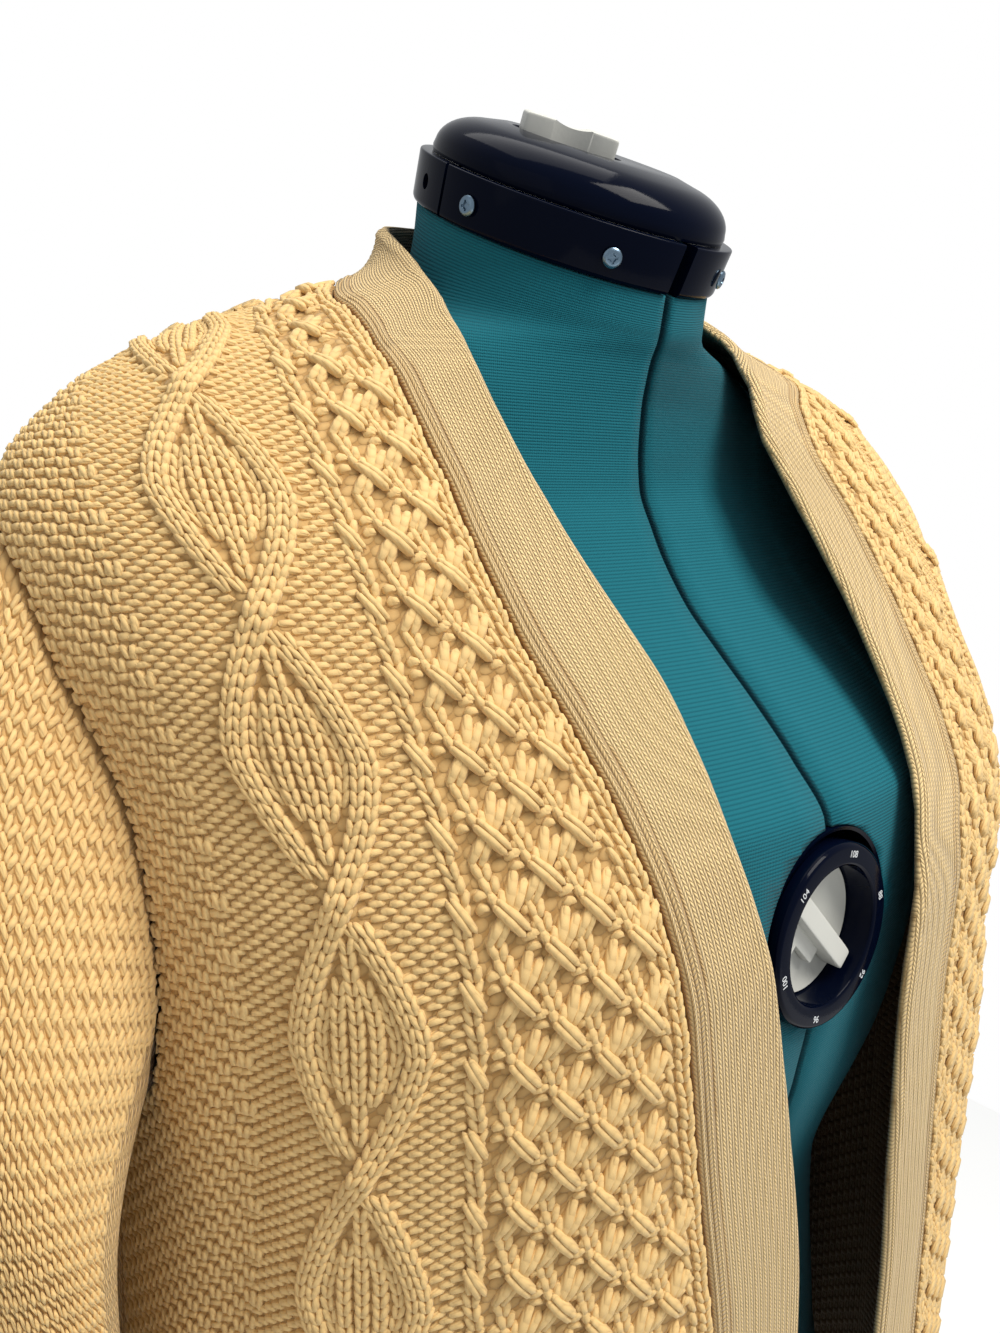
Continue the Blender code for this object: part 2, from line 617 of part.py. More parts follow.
def armhole_row(side, turn, points, depth):
    """The sleeve's edge, with a point opposite each point of the front's and the back's armhole edges.

    The edge's thickness turns from the drape's inside at the top to the armhole's middle under the arm.
    """
    middle, half = (ARMHOLE_TOP + ARMHOLE_LOW) / 2, (ARMHOLE_TOP - ARMHOLE_LOW) / 2
    turns = [0.0, pi]
    for place, from_back in ((LEAF_FRONT, False), (LEAF_BACK, True)):
        for z in panel_heights(place, side if not from_back else 1, from_back)[0]:
            if ARMHOLE_LOW < z < ARMHOLE_TOP:
                at = float(np.arccos((z - middle) / half))
                turns.append(2 * pi - at if from_back else at)
    turns = np.sort(turns)
    edge, normal, _ = armhole_places(turns, side)
    walked = np.concatenate([[0.0], np.cumsum(np.linalg.norm(np.diff(points, axis=0), axis=1))])
    places = np.interp(turns, turn, walked) / walked[-1]
    inward = drape_point(side * pi / 2, middle) - edge
    inward -= (inward * normal).sum(1, keepdims=True) * normal
    inward /= np.linalg.norm(inward, axis=1, keepdims=True)
    tip = (radians(37.0) + radians(53.0) * (1 - np.cos(turns)) / 2)[:, None]
    made = edge + depth * (np.sin(tip) * inward - np.cos(tip) * normal)
    return np.append(places, 1.0), np.concatenate([made, made[:1]])


def sleeve(name, material, side):
    """One sleeve, with a leaf cable down its middle."""
    length = ARMHOLE_TOP - CUFF_END - CUFF_RIB
    count = int(length / (LEAF_LENGTH / BACK_ROWS_PER_LEAF)) + 1
    shares = np.linspace(0, 1, count)
    turn, points, normal = sleeve_rings(side, shares)
    outer = [armhole_row(side, turn, points[0], 0.0)]
    inner = [armhole_row(side, turn, points[0], WALL)]
    for number in range(1, count):
        walked = np.linalg.norm(np.diff(points[number], axis=0), axis=1).sum()
        row = leaf_columns(0.0, shares[number] * length, False)
        row += [(walked * k / 10, 0.0) for k in range(2, 9)]
        outer.append(tube_row(points[number], normal[number], row, 0.0))
        if number % 3 == 1 or number == count - 1:
            plain = [(walked * k / 14, 0.0) for k in range(14)]
            inner.append(tube_row(points[number], normal[number], plain, WALL))
    return walled(name, material, outer, inner, None, None, closed=True)


def cuff(name, material, side):
    """A ribbed cuff at the sleeve's end."""
    turn = np.linspace(0, 2 * pi, 241)
    ribs = 28
    outer, inner = [], []
    for z in (CUFF_END + CUFF_RIB, CUFF_END):
        points = tube_point(turn, np.full(turn.shape, z - 2.0), side)
        points[:, 2] = z
        around = np.gradient(points, axis=0)
        around[0] = around[-1] = (points[1] - points[-2]) / 2
        normal = np.cross(around, (0.0, 0.0, -1.0)) * side
        normal /= np.linalg.norm(normal, axis=1, keepdims=True)
        walked = np.linalg.norm(np.diff(points, axis=0), axis=1).sum()
        row = [(walked * k / (2 * ribs), RIB_HEIGHT if k % 2 else 0.0) for k in range(2 * ribs)]
        outer.append(tube_row(points, normal, row, 0.0))
        inner.append(tube_row(points, normal, [(walked * k / 16, 0.0) for k in range(16)], WALL))
    return walled(name, material, outer, inner, None, None, closed=True)


# ---- The dress form ----

def torso_ring(z):
    """A ring of the torso, with the narrow gap between its front halves pressed in."""
    heights, *values = columns_of(TORSO)
    half, side, front_y, back_y, power, lean = (smooth(z, heights, column) for column in values)
    near = np.arcsin((GROOVE_HALF / half) ** (power / 2))
    turns = np.linspace(near, 2 * pi - near, TORSO_COLUMNS)
    x, y = superellipse(turns, half, side, front_y, back_y, power)
    groove_x = np.array([GROOVE_HALF, -GROOVE_HALF])
    x, y = np.concatenate([groove_x, x]), np.concatenate([np.full(2, front_y + GROOVE_DEEP), y])
    return np.stack([x, y, z + lean * (y - side)], 1)


def torso(name, material):
    """The knit-covered torso, a loft through its rings."""
    heights = [row[0] for row in TORSO]
    levels = sorted(set(heights) | {1020.0, 1107.0, 1231.0})
    mesh = Mesh()
    rows = []
    for z in levels:
        ring = torso_ring(float(z))
        numbers = mesh.row(ring)
        rows.append((numbers + numbers[:1], list(range(len(ring) + 1))))
    mesh.sheet(rows)
    for numbers, _ in (rows[0], rows[-1]):
        mesh.faces.append(tuple(numbers[:-1]))
    made = mesh.object(name, material)
    pocket = turned("dial_pocket", None, [(0.0, -6.0), (DIAL_POCKET, -6.0), (DIAL_POCKET, 24.0), (0.0, 24.0)],
                    facing_front(), steps=32)
    cut_by(made, pocket)
    return made


def facing_front():
    """Frame of the dial: its axis runs into the form, from the dial's face."""
    return Matrix.Translation((0, DIAL_Y * MM, DIAL_Z * MM)) @ Matrix.Rotation(-pi / 2, 4, "X")


def neck_frame(rise=0.0):
    """Frame of the collar: its axis leans to the front, from the collar's lower edge."""
    place = Matrix.Translation((0, NECK_Y * MM, NECK_Z * MM))
    return place @ Matrix.Rotation(NECK_TILT, 4, "X") @ Matrix.Translation((0, 0, rise * MM))


def turned(name, material, profile, frame, steps=32, squash=1.0):
    """A turned solid: a closed profile of (radius, height) in millimetres round a frame's axis."""
    data = bpy.data.meshes.new(name)
    made = bpy.data.objects.new(name, data)
    shape = bmesh.new()
    corners = [shape.verts.new((radius * MM, 0, height * MM)) for radius, height in profile]
    edges = [shape.edges.new(pair) for pair in zip(corners, corners[1:] + corners[:1])
             if max(pair[0].co.x, pair[1].co.x) > 0]
    bmesh.ops.spin(shape, geom=corners + edges, axis=(0, 0, 1), cent=(0, 0, 0), steps=steps, angle=2 * pi,
                   use_merge=True, use_duplicate=False)
    bmesh.ops.remove_doubles(shape, verts=shape.verts, dist=1e-6)
    bmesh.ops.recalc_face_normals(shape, faces=shape.faces)
    if shape.calc_volume(signed=True) < 0:
        bmesh.ops.reverse_faces(shape, faces=shape.faces)
    shape.to_mesh(data)
    shape.free()
    data.transform(frame @ Matrix.Scale(squash, 4, (0, 1, 0)))
    return dress(made, material)


def rounded_bar(name, material, size, frame, bevel):
    """A bar with rounded edges."""
    data = bpy.data.meshes.new(name)
    shape = bmesh.new()
    bmesh.ops.create_cube(shape, size=1.0)
    bmesh.ops.scale(shape, vec=Vector([value * MM for value in size]), verts=shape.verts)
    shape.to_mesh(data)
    shape.free()
    data.transform(frame)
    made = dress(bpy.data.objects.new(name, data), material)
    edge = made.modifiers.new("Rounded edges", "BEVEL")
    edge.width, edge.segments = bevel * MM, 2
    return made


def cut_by(made, cutter):
    """Cuts a shape out of an object."""
    cut = made.modifiers.new("Cut", "BOOLEAN")
    cut.operation, cut.object, cut.solver = "DIFFERENCE", cutter, "EXACT"


def collar_and_cap(navy, white, steel):
    """Collar ring, domed cap with its lip, white turning bar and the collar's screws."""
    squash = COLLAR_DEEP / COLLAR_WIDE
    wide = COLLAR_WIDE
    turned("neck_collar", navy, [(wide - COLLAR_WALL, SEAM), (wide - 0.8, SEAM), (wide, 1.2),
                                 (wide + 1.0, COLLAR_HIGH), (wide - COLLAR_WALL, COLLAR_HIGH)],
           neck_frame(), steps=36, squash=squash)
    base = COLLAR_HIGH + SEAM
    dome = [(0.0, base), (wide - CAP_STEP, base), (wide - CAP_STEP + 0.4, base + 2.0)]
    dome += [(wide - CAP_STEP - 20.0 * (1 - cos(t)), base + 3.0 + (CAP_HIGH - 4.0) * sin(t))
             for t in np.radians((12, 34, 56, 76))]
    dome += [(wide - 26.0, base + CAP_HIGH), (0.0, base + CAP_HIGH)]
    turned("neck_cap", navy, dome, neck_frame(), steps=32, squash=squash)
    length, thick, high = KNOB
    stand = (neck_frame(base + CAP_HIGH + SEAM + high / 2) @ Matrix.Translation((KNOB_SHIFT * MM, 0, 0))
             @ Matrix.Rotation(KNOB_TURN, 4, "Z"))
    rounded_bar("neck_knob", white, (length, thick, high), stand, 2.0)
    for number, degrees in enumerate(SCREW_ANGLES, 1):
        angle = radians(degrees)
        out = Vector((cos(angle), -squash * sin(angle), 0))
        place = neck_frame(COLLAR_HIGH * 0.45) @ Matrix.Translation(out * (wide + 0.9 + SEAM) * MM)
        face = place @ Vector((cos(angle), -sin(angle), 0)).to_track_quat("Z", "Y").to_matrix().to_4x4()
        turned(f"collar_screw_{number}", steel, [(0.0, 0.0), (SCREW_RADIUS, 0.0), (SCREW_RADIUS - 0.6, 1.0),
                                                 (0.0, 1.3)], face, steps=10)


def dial(navy, white):
    """Chest dial: ring, dish and twist bar, in the torso's pocket."""
    frame = facing_front()
    ring, hole = DIAL_RADIUS, DIAL_HOLE
    turned("dial_ring", navy, [(hole, 0.4), (hole + 1.0, 0.0), (ring - 1.2, 0.0), (ring, 1.2), (ring, DIAL_RING),
                               (DIAL_POCKET - SEAM, DIAL_RING + 0.5), (DIAL_POCKET - SEAM, DIAL_BACK + 6.0),
                               (hole, DIAL_BACK + 6.0)], frame, steps=32)
    turned("dial_dish", white, [(0.0, DIAL_BACK), (hole - 3.0, DIAL_BACK), (hole - SEAM, DIAL_BACK - 1.5),
                                (hole - SEAM, DIAL_BACK + 5.0), (0.0, DIAL_BACK + 5.0)], frame, steps=32)
    length, thick, high = TWIST_BAR
    deep = DIAL_BACK - SEAM - high / 2
    stand = frame @ Matrix.Translation((0, 0, deep * MM)) @ Matrix.Rotation(TWIST_TURN, 4, "Z")
    rounded_bar("dial_knob", white, (length, thick, high), stand, 1.6)


def stand(grey):
    """Pole under the torso and the round base."""
    under = TORSO[0][0]
    turned("stand_pole", grey, [(0.0, BASE_HIGH + SEAM), (POLE_FOOT, BASE_HIGH + SEAM), (POLE_FOOT, BASE_HIGH + 18),
                                (POLE_RADIUS, BASE_HIGH + 26), (POLE_RADIUS, under - 14), (POLE_FOOT + 8, under - 8),
                                (POLE_FOOT + 8, under - SEAM), (0.0, under - SEAM)],
           Matrix.Identity(4), steps=24)
    turned("stand_base", grey, [(0.0, 0.0), (BASE_RADIUS - 2, 0.0), (BASE_RADIUS, 2.0), (BASE_RADIUS, 10.0),
                                (BASE_RADIUS - 4, 14.0), (60.0, BASE_HIGH), (0.0, BASE_HIGH)],
           Matrix.Identity(4), steps=40)


# ---- Scene ----

def new_material(name, colour, roughness, metallic=0.0):
    """A plain Principled material."""
    material = bpy.data.materials.new(name)
    material.use_nodes = True
    shader = material.node_tree.nodes["Principled BSDF"]
    shader.inputs["Base Color"].default_value = (*colour, 1.0)
    shader.inputs["Roughness"].default_value = roughness
    shader.inputs["Metallic"].default_value = metallic
    return material


def dress(made, material):
    """Puts an object in the part's collection with its material, or a cutter, which has none, in the cutters'."""
    name = OBJECT if material else "cutters"
    collection = bpy.data.collections.get(name)
    if not collection:
        collection = bpy.data.collections.new(name)
        bpy.context.scene.collection.children.link(collection)
    collection.objects.link(made)
    if material:
        made.data.materials.append(material)
    else:
        made.hide_render, made.display_type = True, "WIRE"
    return made


def main():
    for old in list(bpy.data.objects):
        bpy.data.objects.remove(old, do_unlink=True)
    knit = new_material("mustard_knit", (0.72, 0.48, 0.21), 0.9)
    rib = new_material("mustard_rib", (0.74, 0.50, 0.23), 0.88)
    teal = new_material("teal_cover", (0.006, 0.13, 0.16), 0.85)
    navy = new_material("navy_plastic", (0.004, 0.006, 0.02), 0.15)
    white = new_material("white_plastic", (0.75, 0.75, 0.70), 0.4)
    steel = new_material("screw_steel", (0.35, 0.42, 0.48), 0.25, 1.0)
    grey = new_material("stand_paint", (0.02, 0.02, 0.025), 0.4)

    front("front_right", knit, 1, BAND_RIGHT)
    front("front_left", knit, -1, BAND_LEFT)
    back("back", knit)
    sleeve("sleeve_right", knit, 1)
    sleeve("sleeve_left", knit, -1)
    cuff("cuff_right", rib, 1)
    cuff("cuff_left", rib, -1)
    band("band", rib)
    ends = (HEM_END, HEM_END + HEM_RIB)
    right_seam, left_seam = smooth(ends, *seam_curve(BAND_RIGHT, 1)), -smooth(ends, *seam_curve(BAND_LEFT, -1))
    ribbed_strip("hem_right", rib, right_seam, (pi / 2, pi / 2))
    ribbed_strip("hem_back", rib, (pi / 2, pi / 2), (3 * pi / 2, 3 * pi / 2))
    ribbed_strip("hem_left", rib, (-pi / 2, -pi / 2), left_seam)
    torso("torso", teal)
    collar_and_cap(navy, white, steel)
    dial(navy, white)
    stand(grey)


if __name__ == "__main__":
    main()
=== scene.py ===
"""Looks of the cable knit cardigan on its adjustable dress form.

The file model.glb gives the plain solids. Here each is replaced by a finer piece with its yarn, stitches, jersey,
plastic or steel. Sizes are in millimetres and meshes are written in metres. A place on a knitted panel is given
by its length across, round the body from the centre front or back, and its length along, up the cloth from one
cable crossing.
"""

from __future__ import annotations

import logging
from dataclasses import dataclass, field
from math import cos, pi, radians, sin
from typing import Callable, Sequence

import bmesh
import bpy
import numpy as np
from mathutils import Matrix, Vector

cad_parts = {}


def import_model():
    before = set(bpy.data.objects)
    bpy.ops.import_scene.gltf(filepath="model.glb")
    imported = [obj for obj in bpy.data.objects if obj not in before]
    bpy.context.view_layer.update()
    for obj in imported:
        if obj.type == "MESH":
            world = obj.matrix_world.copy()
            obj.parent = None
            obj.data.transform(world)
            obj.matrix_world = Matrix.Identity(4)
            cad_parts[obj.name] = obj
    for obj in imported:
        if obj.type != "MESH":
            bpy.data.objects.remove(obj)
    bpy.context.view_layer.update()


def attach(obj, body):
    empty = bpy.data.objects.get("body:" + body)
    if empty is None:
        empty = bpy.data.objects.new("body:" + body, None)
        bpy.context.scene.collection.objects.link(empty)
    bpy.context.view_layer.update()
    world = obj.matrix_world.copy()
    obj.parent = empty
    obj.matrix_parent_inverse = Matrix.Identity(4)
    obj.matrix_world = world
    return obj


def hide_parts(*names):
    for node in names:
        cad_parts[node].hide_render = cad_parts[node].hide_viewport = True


LOG = logging.getLogger("cardigan")
MM = 0.001
SEED = 7
JITTER = 0.10      # how far a strand's ends wander at random
SHARP = 38.0       # degrees above which an edge stays sharp
Array = np.ndarray
Piece = bpy.types.Object
Socket = bpy.types.NodeSocket


# ---- Curves ----

def smooth(x: Array | float, knots: Sequence[float], values: Sequence[float]) -> Array:
    """Reads a table along a monotone cubic: Hermite pieces whose tangents are harmonic means of the slopes.

    Args:
        x: places to read at.
        knots: the table's places, rising.
        values: the table's values.

    Returns:
        The value at each x, held constant past the ends.
    """
    knots, values = np.asarray(knots, float), np.asarray(values, float)
    step = np.diff(knots)
    slope = np.diff(values) / step
    before, after = slope[:-1], slope[1:]
    wide, narrow = 2 * step[1:] + step[:-1], step[1:] + 2 * step[:-1]
    level = before * after <= 0
    mean = (wide + narrow) / (wide / np.where(level, 1, before) + narrow / np.where(level, 1, after))
    tangent = np.concatenate([slope[:1], np.where(level, 0.0, mean), slope[-1:]])
    x = np.clip(np.asarray(x, float), knots[0], knots[-1])
    i = np.clip(np.searchsorted(knots, x) - 1, 0, len(knots) - 2)
    t = (x - knots[i]) / step[i]
    return ((1 + 2 * t) * (1 - t) ** 2 * values[i] + t * (1 - t) ** 2 * step[i] * tangent[i]
            + t * t * (3 - 2 * t) * values[i + 1] + t * t * (t - 1) * step[i] * tangent[i + 1])


def columns_of(table: Sequence[Sequence[float]]) -> Array:
    """The table's columns as arrays."""
    return np.array(table, float).T


def dome(x: Array) -> Array:
    """A rounded bump of half width 1: (1 - x squared) to the power 0.7, and 0 outside."""
    return np.maximum(1 - np.asarray(x) ** 2, 0.0) ** 0.7


def superellipse(angle: Array, half: Array, side: Array, front: Array, back: Array,
                 power: Array) -> tuple[Array, Array]:
    """Point of a body ring: x = -half sin^(2/p), y = side - reach cos^(2/p), with the signs kept.

    Args:
        angle: 0 is the centre front, pi / 2 the wearer's right side, pi the centre back.
        half: half width of the ring.
        side: depth of its side line.
        front: depth of its front.
        back: depth of its back.
        power: squareness, 2 for an ellipse.

    Returns:
        x and y.
    """
    s, c = np.sin(angle), np.cos(angle)
    reach = np.where(c >= 0, side - front, back - side)
    x = -half * np.sign(s) * np.abs(s) ** (2 / power)
    return x, side - reach * np.sign(c) * np.abs(c) ** (2 / power)


def walk(points: Array) -> Array:
    """Length walked along each row of points, from its first."""
    return np.cumsum(np.linalg.norm(np.diff(points, axis=1, prepend=points[:, :1]), axis=2), axis=1)


def unit(vectors: Array) -> Array:
    """The vectors at length 1."""
    return vectors / np.maximum(np.linalg.norm(vectors, axis=-1, keepdims=True), 1e-9)


# ---- The drape: the surface that every panel lies on ----

@dataclass(frozen=True)
class Drape:
    """The worn cardigan's outer surface, as level rings.

    Attributes:
        rings: height, half width, depth of the side line, of the front and of the back, and squareness.
        fullness: height and share of the left shoulder's fullness.
        left_wider: how much wider the left is there.
        left_forward: how far forward its side line moves.
        left_squarer: what it adds to the squareness.
        folds: height and depth of the soft upright folds.
        fold_count: how many go all round.
    """

    rings: tuple = (
        (720, 206.0, -18.0, -170.0, 131.0, 2.25), (900, 201.0, -18.0, -168.0, 127.0, 2.30),
        (1050, 196.0, -18.0, -167.0, 123.0, 2.35), (1150, 193.0, -18.0, -168.0, 121.0, 2.40),
        (1211, 194.0, -16.0, -168.0, 119.0, 2.40), (1240, 196.0, -13.0, -163.0, 116.0, 2.40),
        (1268, 200.0, -9.0, -151.0, 111.0, 2.35), (1290, 206.0, -5.0, -138.0, 106.0, 2.30),
        (1316, 213.0, -1.0, -122.0, 100.0, 2.25), (1340, 214.0, 2.0, -107.0, 92.0, 2.15),
        (1362, 207.0, 5.0, -93.0, 84.0, 2.00), (1381, 191.0, 7.0, -82.0, 76.0, 1.85),
        (1398, 166.0, 9.0, -73.0, 68.0, 1.70), (1407, 145.0, 10.0, -67.0, 64.0, 1.60),
        (1417, 118.0, 10.0, -64.0, 60.0, 1.55), (1428, 88.0, 8.0, -65.0, 56.0, 1.60),
        (1436, 75.0, 7.0, -68.0, 54.0, 1.75), (1445, 69.0, 6.0, -72.0, 52.0, 1.90),
        (1458, 65.0, 6.0, -74.0, 49.0, 2.00), (1476, 62.0, 6.0, -76.0, 46.0, 2.00))
    fullness: tuple = ((1180, 0.0), (1262, 1.0), (1398, 0.95), (1416, 0.4), (1432, 0.0))
    left_wider: float = 12.0
    left_forward: float = 17.0
    left_squarer: float = 0.12
    folds: tuple = ((720, 4.0), (900, 2.6), (1130, 0.0))
    fold_count: int = 8

    def point(self, angle: Array, z: Array) -> Array:
        """Point of the surface: a superellipse ring read from the table, fuller on the left, with cosine folds.

        Args:
            angle: angle round the body.
            z: height.

        Returns:
            Points, with the last axis x, y, z.
        """
        heights, *values = columns_of(self.rings)
        half, side, front, back, power = (smooth(z, heights, column) for column in values)
        turn = np.sin(angle)
        share = smooth(z, *columns_of(self.fullness)) * np.where(turn < 0, np.abs(turn), 0.0) ** 0.7
        fold = -smooth(z, *columns_of(self.folds)) * np.cos(self.fold_count * angle)
        x, y = superellipse(angle, half + self.left_wider * share + fold, side - self.left_forward * share,
                            front - fold, back + fold, power + self.left_squarer * share)
        return np.stack(np.broadcast_arrays(x, y, z), -1)

    def normal(self, angle: Array, z: Array) -> Array:
        """Outward direction: the cross product of small steps up and round.

        Args:
            angle: angle round the body.
            z: height.

        Returns:
            Unit vectors.
        """
        along = self.point(angle + 0.004, z) - self.point(angle - 0.004, z)
        return unit(np.cross(self.point(angle, z + 1) - self.point(angle, z - 1), along))

    def ring(self, z: float, start: float, end: float) -> tuple[Array, Array]:
        """Angles from start to end at one height, and the length walked to each."""
        angle = np.linspace(start, end, 361)
        steps = np.linalg.norm(np.diff(self.point(angle, float(z)), axis=0), axis=1)
        return angle, np.concatenate([[0.0], np.cumsum(steps)])

    def angle_at(self, length: float, z: float, side: int) -> float:
        """Angle of the point a length from the centre front on one side."""
        angle, walked = self.ring(z, 0.0, side * pi / 2)
        return float(np.interp(length, walked, angle))


@dataclass(frozen=True)
class Cut:
    """Edges and sizes of the garment's pieces.

    Attributes:
        right: the band's edge on the right front as height and length from the centre, then its seam likewise.
        left: the same on the left front.
        neck: angle and height of the band's edge round the neck, then of its seam.
    """

    wall: float = 3.0
    seam: float = 0.3
    hem_end: float = 720.0
    hem_rib: float = 55.0
    neck_point: float = 1427.5
    armhole_top: float = 1348.0
    armhole_low: float = 1152.0
    armhole_cut: float = 42.0
    cuff_end: float = 780.0
    cuff_rib: float = 60.0
    crossing: float = 1174.0
    leaf_front: float = 174.0
    leaf_back: float = 150.0
    lattice_edge: float = 143.0
    back_lattice: float = 54.0
    right: tuple = (
        (720, 8.0, 720, 50.0), (900, 10.0, 900, 52.0), (1040, 14.0, 1040, 57.0), (1093, 19.0, 1093, 62.0),
        (1160, 33.0, 1158, 73.0), (1225, 48.0, 1221, 82.0), (1255, 54.0, 1248, 87.0), (1299, 58.0, 1286, 95.0),
        (1331, 69.0, 1314, 103.0), (1369, 78.0, 1352, 107.0), (1402, 79.0, 1386, 109.0))
    left: tuple = (
        (720, 46.0, 720, 88.0), (900, 47.0, 900, 89.0), (1049, 47.0, 1049, 89.0), (1118, 39.0, 1118, 80.0),
        (1181, 35.0, 1180, 74.0), (1234, 43.0, 1230, 78.0), (1261, 53.0, 1254, 88.0), (1288, 57.0, 1280, 92.0),
        (1331, 55.0, 1318, 92.0), (1376, 50.0, 1362, 86.0), (1402, 62.0, 1388, 92.0))
    neck: tuple = ((46.5, 1419.2, 47.0, 1403.2), (57.0, 1427.0, 58.0, 1413.8), (68.0, 1433.8, 68.0, 1419.0),
                   (80.0, 1441.0, 77.0, 1423.0), (92.0, 1447.5, 90.0, 1427.5), (130.0, 1457.0, 128.0, 1427.5),
                   (180.0, 1464.0, 180.0, 1427.5))

    def table(self, side: int) -> tuple:
        """The band's table on one side."""
        return self.right if side > 0 else self.left

    def seam_curve(self, side: int) -> tuple[list[float], list[float]]:
        """Heights and angles of a front's band seam, up to the neck point."""
        heights = [row[2] for row in self.table(side)] + [row[3] for row in self.neck[:-3]] + [self.neck_point]
        angles = [abs(DRAPE.angle_at(row[3], row[2], side)) for row in self.table(side)]
        return heights, angles + [radians(row[2]) for row in self.neck[:-3]] + [pi / 2]

    def cut_at(self, z: Array) -> Array:
        """How far the armhole cuts in at a height: half an ellipse."""
        middle, half = (self.armhole_top + self.armhole_low) / 2, (self.armhole_top - self.armhole_low) / 2
        return self.armhole_cut * np.sqrt(np.maximum(1 - ((z - middle) / half) ** 2, 0.0))


DRAPE = Drape()
CUT = Cut()
# Soft troughs, and ridges where the last number is below 0: start, end, half width and depth of each, by panel.
CREASES = {
    "front_right": (((232, -150), (196, 60), 14.0, 3.0), ((215, -210), (240, -60), 16.0, -2.5)),
    "front_left": (((150, -330), (158, 165), 40.0, -8.0), ((165, -330), (150, 40), 34.0, -6.0)),
    "back": (((-205, 90), (-118, -95), 17.0, 4.0), ((212, 60), (150, -150), 20.0, 3.5),
             ((-96, -70), (-70, -300), 22.0, 3.0), ((62, 20), (84, -170), 18.0, 2.5),
             ((190, -190), (128, -330), 19.0, 3.5), ((-215, -160), (-160, -290), 14.0, 3.0),
             ((-30, 190), (25, 176), 12.0, 2.0), ((12, -250), (30, -380), 24.0, -2.5)),
    "sleeve_right": (((20, -300), (120, -345), 13.0, 4.0), ((40, -350), (150, -372), 11.0, 3.0),
                     ((-120, -290), (-30, -330), 14.0, 3.5), ((60, -170), (96, -290), 16.0, 2.5),
                     ((-80, -400), (10, -430), 12.0, 3.0), ((-140, -120), (-96, -230), 15.0, 2.5)),
    "sleeve_left": (((25, -285), (130, -330), 14.0, 4.0), ((45, -340), (140, -365), 11.0, 3.0),
                    ((-125, -300), (-25, -345), 15.0, 3.5), ((70, -150), (110, -270), 17.0, 3.0),
                    ((-70, -410), (20, -445), 12.0, 2.5), ((-130, -100), (-104, -240), 13.0, 2.5))}


# ---- Charts: cloth as a map from places across and along ----

@dataclass
class Chart:
    """Points and outward directions of a piece of cloth over places across and along.

    Attributes:
        across: places across, evenly spaced.
        along: places along, evenly spaced.
        points: points by place across and along.
        normals: outward directions.
        low: near edge across, at each place along.
        high: far edge across.
        closed: the cloth is a tube.
    """

    across: Array
    along: Array
    points: Array
    normals: Array
    low: Array
    high: Array
    closed: bool = False

    def edges(self, v: Array) -> tuple[Array, Array]:
        """Near and far edge across at places along."""
        return np.interp(v, self.along, self.low), np.interp(v, self.along, self.high)

    def read(self, c: Array, v: Array, rise: Array | float = 0.0) -> Array:
        """Points off the cloth: the tables read along straight lines, plus rise times outward.

        Args:
            c: places across, kept within the cloth's edges.
            v: places along.
            rise: distance off the cloth.

        Returns:
            Points in millimetres.
        """
        low, high = self.edges(v)
        c = np.clip(c, low, high)
        i = np.clip((c - self.across[0]) / (self.across[1] - self.across[0]), 0, len(self.across) - 1.001)
        j = np.clip((v - self.along[0]) / (self.along[1] - self.along[0]), 0, len(self.along) - 1.001)
        a, b = i.astype(int), j.astype(int)
        s, t = (i - a)[..., None], (j - b)[..., None]

        def blended(table: Array) -> Array:
            """One table between its four nearest places."""
            return ((table[a, b] * (1 - s) + table[a + 1, b] * s) * (1 - t)
                    + (table[a, b + 1] * (1 - s) + table[a + 1, b + 1] * s) * t)

        return blended(self.points) + np.asarray(rise)[..., None] * unit(blended(self.normals))


@dataclass(frozen=True)
class Crease:
    """A soft trough (or ridge, where its depth is below 0) along a line between two places of a panel."""

    start: tuple[float, float]
    end: tuple[float, float]
    half: float
    depth: float

    def at(self, c: Array, v: Array) -> Array:
        """Depth at a place: a bell across the line, faded out towards its ends."""
        (c0, v0), (c1, v1) = self.start, self.end
        length = np.hypot(c1 - c0, v1 - v0)
        along = ((c - c0) * (c1 - c0) + (v - v0) * (v1 - v0)) / length ** 2
        off = ((c - c0) * (v1 - v0) - (v - v0) * (c1 - c0)) / length
        fade = np.clip(1.4 * np.sin(pi * np.clip(along, 0, 1)), 0, 1)
        return -self.depth * fade * np.exp(-(off / self.half) ** 2)


def pressed(name: str, c: Array, v: Array) -> Array:
    """How far a panel's creases move its cloth outwards at places."""
    flat = np.zeros(np.broadcast_shapes(c.shape, v.shape))
    return sum((Crease(*row).at(c, v) for row in CREASES[name]), flat)


def crossed(places: Array, gap: Array, first: bool) -> Array:
    """Place in each column where the gap first, or last, rises above 0, found on a straight line."""
    inside = gap > 0
    rows = np.arange(gap.shape[1])
    hit = np.argmax(inside if first else inside[::-1], axis=0)
    hit = hit if first else len(places) - 1 - hit
    out = np.clip(hit - 1 if first else hit + 1, 0, len(places) - 1)
    g_in, g_out = gap[hit, rows], gap[out, rows]
    share = np.where(g_in > g_out, g_in / np.maximum(g_in - g_out, 1e-9), 0.0)
    return places[hit] + (places[out] - places[hit]) * np.clip(share, 0, 1)


